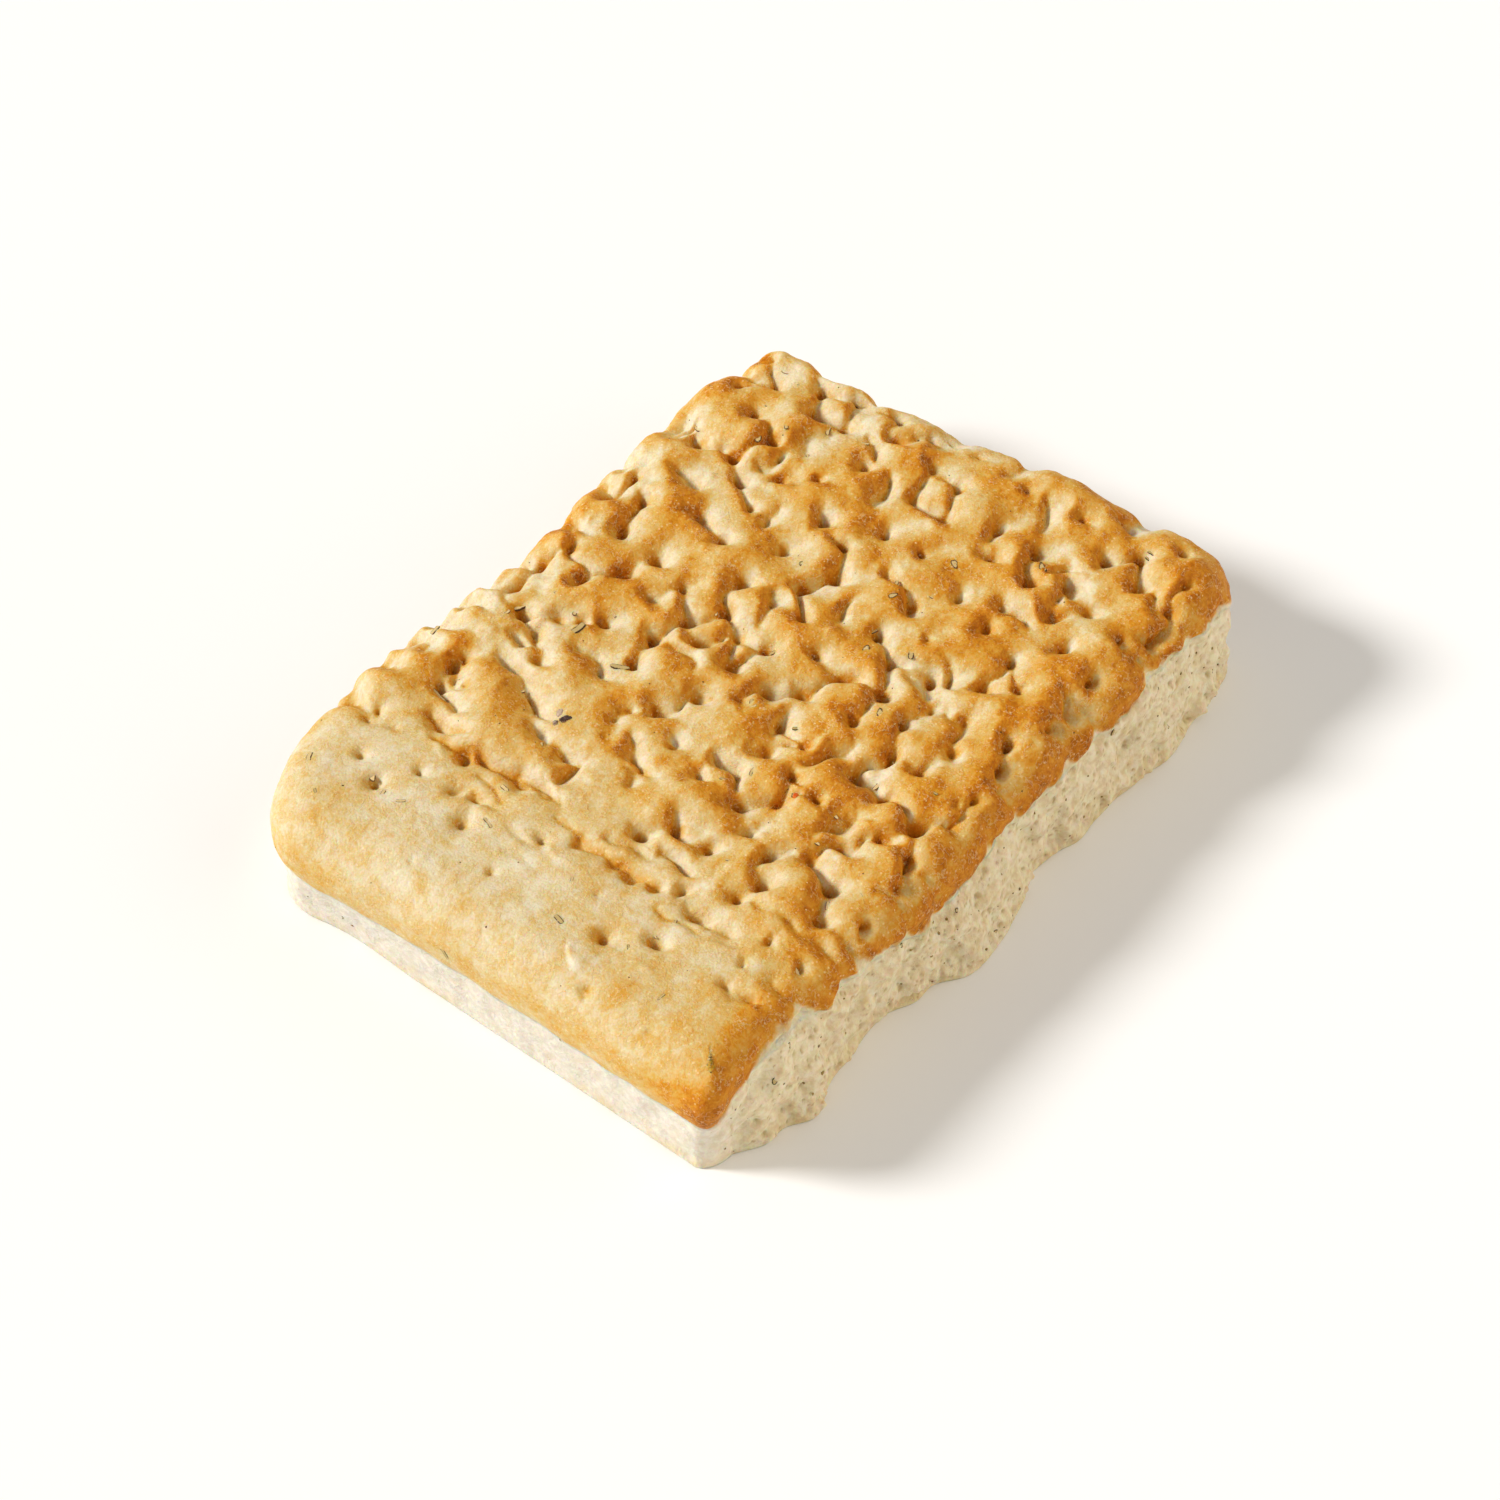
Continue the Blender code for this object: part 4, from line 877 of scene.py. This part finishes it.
class Look:
    """A material as it is put together: each method adds a node and gives its output."""

    def __init__(self, name):
        self.material = bpy.data.materials.new(name)
        self.material.use_nodes = True
        self.nodes = self.material.node_tree.nodes
        self.links = self.material.node_tree.links
        self.shader = self.nodes["Principled BSDF"]
        self.place = self.nodes.new("ShaderNodeTexCoord").outputs["Object"]

    def put(self, socket, value):
        """Links an output to the socket, or sets the socket to a number or a colour."""
        if hasattr(value, "links"):
            self.links.new(value, socket)
        else:
            socket.default_value = (*value, 1) if isinstance(value, tuple) else value

    def attribute(self, name):
        node = self.nodes.new("ShaderNodeAttribute")
        node.attribute_name = name
        return node.outputs["Fac"]

    def noise(self, size, detail):
        """Noise whose blobs are about size metres across."""
        node = self.nodes.new("ShaderNodeTexNoise")
        node.inputs["Scale"].default_value = 1 / size
        node.inputs["Detail"].default_value = detail
        node.inputs["Roughness"].default_value = 0.55
        self.links.new(self.place, node.inputs["Vector"])
        return node.outputs["Fac"]

    def dots(self, size):
        """The distance to scattered points, in shares of their spacing."""
        node = self.nodes.new("ShaderNodeTexVoronoi")
        node.inputs["Scale"].default_value = 1 / size
        self.links.new(self.place, node.inputs["Vector"])
        return node.outputs["Distance"]

    def math(self, operation, a, b=0.0):
        node = self.nodes.new("ShaderNodeMath")
        node.operation = operation
        self.put(node.inputs[0], a)
        self.put(node.inputs[1], b)
        return node.outputs["Value"]

    def spread(self, value, low, high, to_low=0.0, to_high=1.0):
        """The value, from low to high, smoothly turned into to_low to to_high."""
        node = self.nodes.new("ShaderNodeMapRange")
        node.interpolation_type = "SMOOTHSTEP"
        for socket, number in zip(("From Min", "From Max", "To Min", "To Max"), (low, high, to_low, to_high)):
            node.inputs[socket].default_value = number
        self.put(node.inputs["Value"], value)
        return node.outputs["Result"]

    def between(self, noise, to_low=0.0, to_high=1.0):
        """Noise, which mostly runs from 0.3 to 0.7, turned into to_low to to_high."""
        return self.spread(noise, 0.3, 0.7, to_low, to_high)

    def ramp(self, value, tones):
        node = self.nodes.new("ShaderNodeValToRGB")
        ramp = node.color_ramp
        while len(ramp.elements) < len(tones):
            ramp.elements.new(0.5)
        for element, (position, colour) in zip(ramp.elements, tones):
            element.position = position
            element.color = (*colour, 1)
        self.put(node.inputs["Fac"], value)
        return node.outputs["Color"]

    def mix(self, share, a, b):
        node = self.nodes.new("ShaderNodeMix")
        node.data_type = "RGBA"
        for socket, value in (("Factor", share), ("A", a), ("B", b)):
            self.put(node.inputs[socket], value)
        return node.outputs["Result"]

    def bump(self, height, distance, strength=1.0):
        node = self.nodes.new("ShaderNodeBump")
        node.inputs["Distance"].default_value = distance
        node.inputs["Strength"].default_value = strength
        self.links.new(height, node.inputs["Height"])
        self.links.new(node.outputs["Normal"], self.shader.inputs["Normal"])

    def scatter_inside(self, share, depth):
        """Light that goes in and comes out again within depth metres, reddest the farthest."""
        self.shader.inputs["Subsurface Weight"].default_value = share
        self.shader.inputs["Subsurface Radius"].default_value = (1.0, 0.35, 0.08)
        self.shader.inputs["Subsurface Scale"].default_value = depth

    def finish(self, colour, roughness, specular):
        self.put(self.shader.inputs["Base Color"], colour)
        self.put(self.shader.inputs["Roughness"], roughness)
        self.shader.inputs["Specular IOR Level"].default_value = specular
        return self.material


def bread_material():
    look = Look("bread")
    mottle, fleck, grain = look.noise(0.004, 3), look.noise(0.0012, 2), look.noise(0.0006, 1)
    brown = look.attribute("brown")
    for value, amount in ((mottle, 0.09), (fleck, 0.055), (grain, 0.025)):
        brown = look.math("ADD", brown, look.between(value, -amount, amount))
    curls = look.math("ABSOLUTE", look.math("SUBTRACT", look.noise(0.0018, 2), 0.5))
    here = look.spread(look.noise(0.004, 2), 0.4, 0.6)
    threads = look.math("MULTIPLY", look.spread(curls, 0, 0.045, 0.42, 0), here)
    crust = look.mix(threads, look.ramp(brown, CRUST_TONES), THREAD)
    crust = look.mix(look.spread(look.dots(0.0017), 0.10, 0.22, 0.45, 0), crust, FLOUR)
    sponge, blotch = look.noise(0.0020, 3), look.noise(0.005, 3)
    crumb = look.ramp(look.between(sponge), CRUMB_TONES)
    crumb = look.mix(look.spread(blotch, 0.5, 0.75, 0, 0.5), crumb, CRUMB_STAIN)
    band = look.mix(look.between(sponge), *BAND_TONES)
    band = look.mix(look.spread(blotch, 0.5, 0.75, 0, 0.4), band, BAND_STAIN)
    crumb = look.mix(look.attribute("front"), band, crumb)
    golden = look.math("MULTIPLY", look.attribute("low"), look.spread(look.noise(0.006, 2), 0.35, 0.65))
    crumb = look.mix(look.math("MULTIPLY", golden, 0.5), crumb, GOLDEN_FOOT)
    # painted shade: the pores' hollows darkened towards PORE_SHADE
    crumb = look.mix(look.math("MULTIPLY", look.attribute("pore"), 0.7), crumb, PORE_SHADE)
    colour = look.mix(look.attribute("crustness"), crumb, crust)
    height = look.math("ADD", look.spread(grain, 0.25, 0.75), look.spread(sponge, 0.25, 0.75, 0, 1.5))
    look.bump(look.math("ADD", height, look.math("MULTIPLY", threads, 3.0)), 0.0001, 0.75)
    look.scatter_inside(0.5, 0.0025)
    return look.finish(colour, look.between(mottle, 0.5, 0.64), 0.22)


def underside_material():
    look = Look("underside")
    patches, grain = look.noise(0.012, 4), look.noise(0.0012, 3)
    tone = look.math("ADD", look.between(patches, 0, 0.7), look.between(grain, 0, 0.3))
    look.bump(grain, 0.0002, 0.7)
    return look.finish(look.ramp(tone, UNDERSIDE_TONES), look.between(patches, 0.6, 0.75), 0.35)


def herb_material():
    look = Look("herb")
    shade, grain = look.attribute("shade"), look.noise(0.0004, 2)
    edge = look.math("ADD", look.attribute("rim"), look.between(grain, -0.15, 0.15))
    rim = look.spread(edge, 0.45, 0.75)
    colour = look.mix(rim, look.mix(shade, *HERB_FACE), look.mix(shade, *HERB_RIM))
    look.bump(grain, 0.00008)
    return look.finish(colour, look.between(grain, 0.45, 0.65), 0.45)


def olive_material():
    look = Look("olive")
    skin = look.math("ADD", look.noise(0.0009, 3), look.spread(look.attribute("shade"), 0, 1, 0, 0.3))
    look.bump(skin, 0.0002)
    return look.finish(look.ramp(skin, OLIVE_TONES), look.between(skin, 0.28, 0.5), 0.5)


def speck_material(name, colours):
    look = Look(name)
    tone = look.noise(0.0012, 1)
    colour = look.mix(look.spread(tone, 0.35, 0.65), *colours)
    return look.finish(colour, look.between(tone, 0.55, 0.75), 0.2)


def floor_material():
    look = Look("floor")
    tone = look.noise(0.4, 2)
    return look.finish(look.mix(look.between(tone), *FLOOR_TONES), look.between(tone, 0.68, 0.74), 0.2)


# The bread


def close_and_build(name, points, facts, kept, closings, materials, pore, low, high):
    """A closed piece: the kept quads, and a fan over each (ring, height, upward) that was left open."""
    attributes = colour_facts(facts, pore)
    faces = [kept]
    for ring, height, upward in closings:
        points = np.vstack([points, (0, 0, height)])
        attributes = {key: np.append(values, values[ring[0]]) for key, values in attributes.items()}
        faces.append(fan(ring, len(points) - 1, upward))
    return new_piece(name, mesh_of(name, fit_to_box(points, low, high), faces, attributes), materials)


def thin_out(obj, triangles):
    """Merges the faces of flat stretches until only so many triangles are left."""
    full = obj.data
    thin = obj.modifiers.new("thin", "DECIMATE")
    thin.ratio = triangles / sum(face.loop_total - 2 for face in full.polygons)
    evaluated = obj.evaluated_get(bpy.context.evaluated_depsgraph_get())
    obj.data = bpy.data.meshes.new_from_object(evaluated)
    obj.modifiers.clear()
    bpy.data.meshes.remove(full)
    obj.data.name = obj.name
    obj.data.shade_smooth()


def crumb_pores(points, facts):
    """Torn bubbles in the crumb: many along the torn side, and few and small in the pale band."""
    rng = np.random.default_rng(SEED + 1)
    z = facts["plain"][:, 2]
    chance = (1 - facts["fade"]) * (z > 0.8) * (0.03 + facts["front"] ** 2)
    chance *= np.where(facts["front"] > 0.5, 1, step(9, 1, z) + 0.15)
    picked = rng.choice(len(points), PORES, replace=False, p=chance / chance.sum())
    radii = np.clip(rng.lognormal(-0.8, 0.45, PORES), *PORE_RADII) * (0.6 + 0.4 * facts["front"][picked])
    depths = radii * rng.uniform(0.3, 0.7, PORES)
    return hollow(points, facts["normals"], points[picked], radii, depths)


def areas(points, quads):
    """About how much of the surface belongs to each point."""
    a, b, c, d = (points[quads[:, k]] for k in range(4))
    size = np.linalg.norm(np.cross(c - a, d - b), axis=1)
    return np.bincount(quads.ravel(), np.repeat(size, 4), len(points))


def make_bread():
    """Builds the crust and the crumb. Gives their surfaces, and the corners of the shape's own box."""
    bread = bread_material()
    box, quads, kept, ring = crust_grid()
    crust, crust_facts = bread_shape(box, normals_on(box, quads))
    box, quads, crumb_kept, foot, tuck = crumb_grid()
    crumb, crumb_facts = bread_shape(box, normals_on(box, quads))
    crumb, pore = crumb_pores(crumb, crumb_facts)
    crumb[:, 2] = np.where(box[:, 2] <= 0, 0, np.maximum(crumb[:, 2], 0))
    behind = step(crumb_facts["notch"] - 0.6, crumb_facts["notch"] + 0.2, crumb_facts["plain"][:, 2])
    crumb -= crumb_facts["normals"] * (TUCK_DEPTH * behind)[:, None]
    shown = np.vstack([crust[np.unique(kept)], crumb[np.unique(crumb_kept)]])
    low, high = shown.min(0), shown.max(0)
    top = close_and_build(
        "crust", crust, crust_facts, kept, [(ring, CRUST_CLOSING, False)], [bread],
        np.zeros(len(crust)), low, high,
    )
    thin_out(top, CRUST_TRIANGLES)
    body = close_and_build(
        "crumb", crumb, crumb_facts, crumb_kept, [(foot, 0.0, False), (tuck, CRUMB_CLOSING, True)],
        [bread, underside_material()], pore, low, high,
    )
    for face in body.data.polygons:
        if face.normal.z < -0.9 and face.center.z < 0.3 * MM:
            face.material_index = 1
    crust_facts["area"], crumb_facts["area"] = areas(crust, kept), areas(crumb, crumb_kept)
    surface = Surface(fit_to_box(crust, low, high), crust_facts["normals"], crust_facts)
    band = Surface(fit_to_box(crumb, low, high), crumb_facts["normals"], crumb_facts)
    return surface, band, low, high


# Bits on the bread


def needle(length, width, rng):
    """A rolled leaf: a curved trough with thick rims, tapering at both ends.

    Gives its points, 1 on its rims and 0 between them, and how many rings of how many points it has.
    """
    along, around = 12, 12
    s = np.linspace(-1, 1, along)
    angle = np.arange(around) * 2 * math.pi / around
    taper = (1 - np.abs(s) ** rng.uniform(3, 7)) ** 0.5 * 0.92 + 0.08
    groove = 1 - 0.62 * np.exp(-((angle - math.pi / 2) ** 2) / 0.35)
    bend = rng.uniform(-0.10, 0.10) * length
    x = np.repeat(s * length / 2, around)
    y = (taper[:, None] * np.cos(angle) * width / 2).ravel() + np.repeat(bend * s**2, around)
    z = (taper[:, None] * np.sin(angle) * groove * width * 0.30).ravel()
    z += np.repeat(rng.uniform(-0.05, 0.08) * length * s**2, around)
    rim = np.tile(np.abs(np.cos(angle)) ** 1.4, along)
    return np.stack([x, y, z], 1), rim, along, around


def flake(length, width, rng):
    """A torn leaf bit: flat, with an uneven outline and curled edges. Gives what needle gives."""
    along, around = 5, 12
    angle = np.arange(around) * 2 * math.pi / around
    ragged = 1 + 0.22 * np.sin(3 * angle + rng.uniform(0, 6)) * rng.uniform(0.3, 1)
    rings = np.array([(0.02, 0.10), (0.75, 0.16), (1.0, 0.12), (0.8, -0.10), (0.02, -0.14)])
    x = (rings[:, :1] * np.cos(angle) * ragged * length / 2).ravel()
    y = (rings[:, :1] * np.sin(angle) * ragged * width / 2).ravel()
    z = np.repeat(rings[:, 1], around) + 0.12 * (x / length * 2) ** 2 + 0.15 * rng.uniform(-1, 1) * y
    rim = np.repeat(rings[:, 0], around) ** 2
    return np.stack([x, y, z], 1), rim, along, around


def closed_tube(along, around):
    """Faces of a tube of rings, closed at both ends."""
    index = np.arange(along * around).reshape(along, around)
    low, high = index[:-1], index[1:]
    quads = np.stack([low, np.roll(low, -1, 1), np.roll(high, -1, 1), high], -1).reshape(-1, 4)
    return quads.tolist() + [index[0, ::-1].tolist(), index[-1].tolist()]


def turned(points, normal, heading):
    """Turns points: their Z follows the normal, their X the heading, 0 towards X or, on an end, Y."""
    up = normal / np.linalg.norm(normal)
    level = np.array((0.0, 1, 0) if abs(up[0]) > 0.8 else (1.0, 0, 0))
    level -= level @ up * up
    level /= np.linalg.norm(level)
    turn = math.radians(heading)
    along = math.cos(turn) * level + math.sin(turn) * np.cross(up, level)
    return points @ np.array((along, np.cross(up, along), up))


def laid(points, surface, i, heading, sunk):
    """Points turned to lie on the surface at its point i, with their middle sunk a little."""
    return turned(points, surface.normals[i], heading) + surface.points[i] - surface.normals[i] * sunk


class Bits:
    """Many small closed things gathered into one mesh."""

    def __init__(self):
        self.points, self.faces, self.values = [], [], {"rim": [], "shade": []}
        self.count = 0

    def add(self, points, faces, shade=0.0, rim=0.0):
        """Takes in one more thing, whose faces count its own points from 0."""
        self.points.append(points)
        self.faces += [[self.count + k for k in face] for face in faces]
        for key, value in (("rim", rim), ("shade", shade)):
            self.values[key].append(np.broadcast_to(value, len(points)))
        self.count += len(points)

    def build(self, name, material):
        mesh = bpy.data.meshes.new(name)
        mesh.from_pydata((np.concatenate(self.points) * MM).tolist(), [], self.faces)
        for key, parts in self.values.items():
            layer = mesh.attributes.new(key, "FLOAT", "POINT")
            layer.data.foreach_set("value", np.concatenate(parts).astype(np.float32))
        mesh.shade_smooth()
        return new_piece(name, mesh, [material])


def blob(detail, rng, uneven):
    """A closed lump of about unit radius. Points and faces."""
    bm = bmesh.new()
    bmesh.ops.create_icosphere(bm, subdivisions=detail, radius=1.0)
    points = np.array([vert.co for vert in bm.verts])
    faces = [[vert.index for vert in face.verts] for face in bm.faces]
    bm.free()
    points *= 1 + uneven * rng.normal(size=(len(points), 1)).clip(-2, 2)
    return points, faces


def lay(bits, surface, i, heading, length, width, sunk, shade, rng):
    """Lays a needle or a flake on the surface at point i."""
    kind = needle if length / width > LEAST_NEEDLE else flake
    points, rim, along, around = kind(length, width, rng)
    bits.add(laid(points, surface, i, heading, sunk), closed_tube(along, around), shade, rim)


def nearest(surface, x, y):
    """The index of the point on the crust's top that is nearest to the place (x, y) of the finished piece."""
    upper = np.flatnonzero(surface.facts["plain"][:, 2] > WIDEST)
    return upper[np.argmin(np.hypot(surface.points[upper, 0] - x, surface.points[upper, 1] - y))]


def make_herbs(surface, band, offset):
    rng = np.random.default_rng(SEED + 2)
    bits = Bits()
    for x, y, heading, length, width in HERBS:
        if width < OLIVE_WIDTH:
            i = nearest(surface, x - offset[0], y - offset[1])
            lay(bits, surface, i, heading, length, width, HERB_SUNK, rng.uniform(0, 0.7), rng)
    for _ in range(SMALL_HERBS):
        x, y = (rng.uniform(4 - half, half - 4) for half in (HALF_LENGTH, HALF_WIDTH))
        length = rng.uniform(1.2, 2.6)
        width = length * rng.uniform(0.25, 0.5)
        i = nearest(surface, x, y)
        lay(bits, surface, i, rng.uniform(0, 180), length, width, CRUMBLED_SUNK, rng.uniform(0, 1), rng)
    for x, y, z, heading, length, width in SIDE_BITS:
        side = band if z < notch_height(np.array((x,)), np.array((y,)))[0] else surface
        i = np.argmin(np.linalg.norm(side.points - (x - offset[0], y - offset[1], z), axis=1))
        lay(bits, side, i, heading, length, width, SIDE_SUNK, rng.uniform(0.4, 1), rng)
    bits.build("herbs", herb_material())


def scatter(name, surface, kind, material, weights, rng, sunk=0.4):
    """Small flat lumps sunk in a surface, by chance where weights allow. kind is their count and radii."""
    bits = Bits()
    count, radii = kind
    shape, faces = blob(1, np.random.default_rng(1), 0.12)
    chance = weights * surface.facts["area"]
    for i in rng.choice(len(surface.points), count, replace=False, p=chance / chance.sum()):
        radius = rng.uniform(*radii)
        stretch = np.array((rng.uniform(0.8, 1.5), 1.0, SPECK_HEIGHT)) * radius
        depth = radius * SPECK_HEIGHT * sunk
        bits.add(laid(shape * stretch, surface, i, rng.uniform(0, 180), depth), faces)
    bits.build(name, material)


def make_specks(surface, band):
    rng = np.random.default_rng(SEED + 3)
    facts = surface.facts
    on_crust = (facts["fade"] > 0.9).astype(float)
    dark = speck_material("dark_speck", DARK_SPECK)
    scatter("crust_specks", surface, CRUST_SPECKS, dark, on_crust, rng)
    tops = on_crust * (0.12 + facts["docked"]) * step(-1.5, 0.5, facts["relief"])
    pale = speck_material("pale_grain", PALE_GRAIN)
    scatter("pale_grains", surface, PALE_GRAINS, pale, tops, rng, sunk=0.5)
    facts = band.facts
    torn = (facts["fade"] < 0.05) * (facts["plain"][:, 2] > 1.5) * (0.08 + facts["front"])
    bran = speck_material("crumb_speck", CRUMB_SPECK)
    scatter("crumb_specks", band, CRUMB_SPECKS, bran, torn, rng, sunk=0.6)


def make_olive(surface, offset):
    rng = np.random.default_rng(SEED + 4)
    material = olive_material()
    bits = Bits()
    for x, y, heading, size, shade in OLIVE_LUMPS:
        i = nearest(surface, x - offset[0], y - offset[1])
        points, faces = blob(3, rng, 0.05)
        points = points + np.stack([waves(points, OLIVE_UNEVEN, seed) for seed in (81, 82, 83)], 1)
        bits.add(laid(points * size, surface, i, heading, OLIVE_SUNK), faces, shade)
    bits.build("olive", material)


def make_red_bit(surface, offset):
    x, y, heading, size = RED_BIT
    points, faces = blob(2, np.random.default_rng(SEED + 5), 0.1)
    i = nearest(surface, x - offset[0], y - offset[1])
    bits = Bits()
    bits.add(laid(points * size, surface, i, heading, 0), faces)
    bits.build("red_bit", speck_material("red_bit", REDDISH))


# The set


def make_floor():
    mesh = bpy.data.meshes.new("floor")
    corners = [(x * FLOOR_REACH, y * FLOOR_REACH, 0) for x, y in ((-1, -1), (1, -1), (1, 1), (-1, 1))]
    mesh.from_pydata(corners, [], [(0, 1, 2, 3)])
    mesh.materials.append(floor_material())
    linked("floor", mesh)


def aim(obj, direction):
    obj.rotation_euler = Vector(direction).to_track_quat("-Z", "Y").to_euler()


def make_light():
    for name, heading, height, size, strength, colour in LIGHTS:
        sun = bpy.data.lights.new(name, "SUN")
        sun.energy = strength
        sun.angle = math.radians(size)
        sun.color = colour
        level = math.cos(math.radians(height))
        down = -math.sin(math.radians(height))
        aim(linked(name, sun), (-heading[0] * level, -heading[1] * level, down))
    world = bpy.data.worlds.new("room")
    bpy.context.scene.world = world
    world.use_nodes = True
    background = world.node_tree.nodes["Background"]
    background.inputs["Color"].default_value = (*ROOM_COLOUR, 1)
    background.inputs["Strength"].default_value = ROOM_STRENGTH
    bpy.context.scene.view_settings.view_transform = "Standard"
    bpy.context.scene.view_settings.look = "Medium High Contrast"


def make_camera(offset):
    heading, height = math.radians(CAMERA_HEADING), math.radians(CAMERA_HEIGHT)
    forward = Vector((
        -math.sin(heading) * math.cos(height), math.cos(heading) * math.cos(height), -math.sin(height)
    ))
    lens = bpy.data.cameras.new("camera")
    lens.lens = LENS
    lens.sensor_width = SENSOR
    lens.clip_end = 20
    camera = linked("camera", lens)
    target = Vector(CAMERA_TARGET) - Vector((offset[0], offset[1], 0))
    camera.location = (target - forward * CAMERA_DISTANCE) * MM
    aim(camera, forward)
    bpy.context.scene.camera = camera


def main():
    surface, band, low, high = make_bread()
    offset = (low + high) / 2
    make_herbs(surface, band, offset)
    make_specks(surface, band)
    make_olive(surface, offset)
    make_red_bit(surface, offset)
    make_floor()
    make_light()
    make_camera(offset)


main()
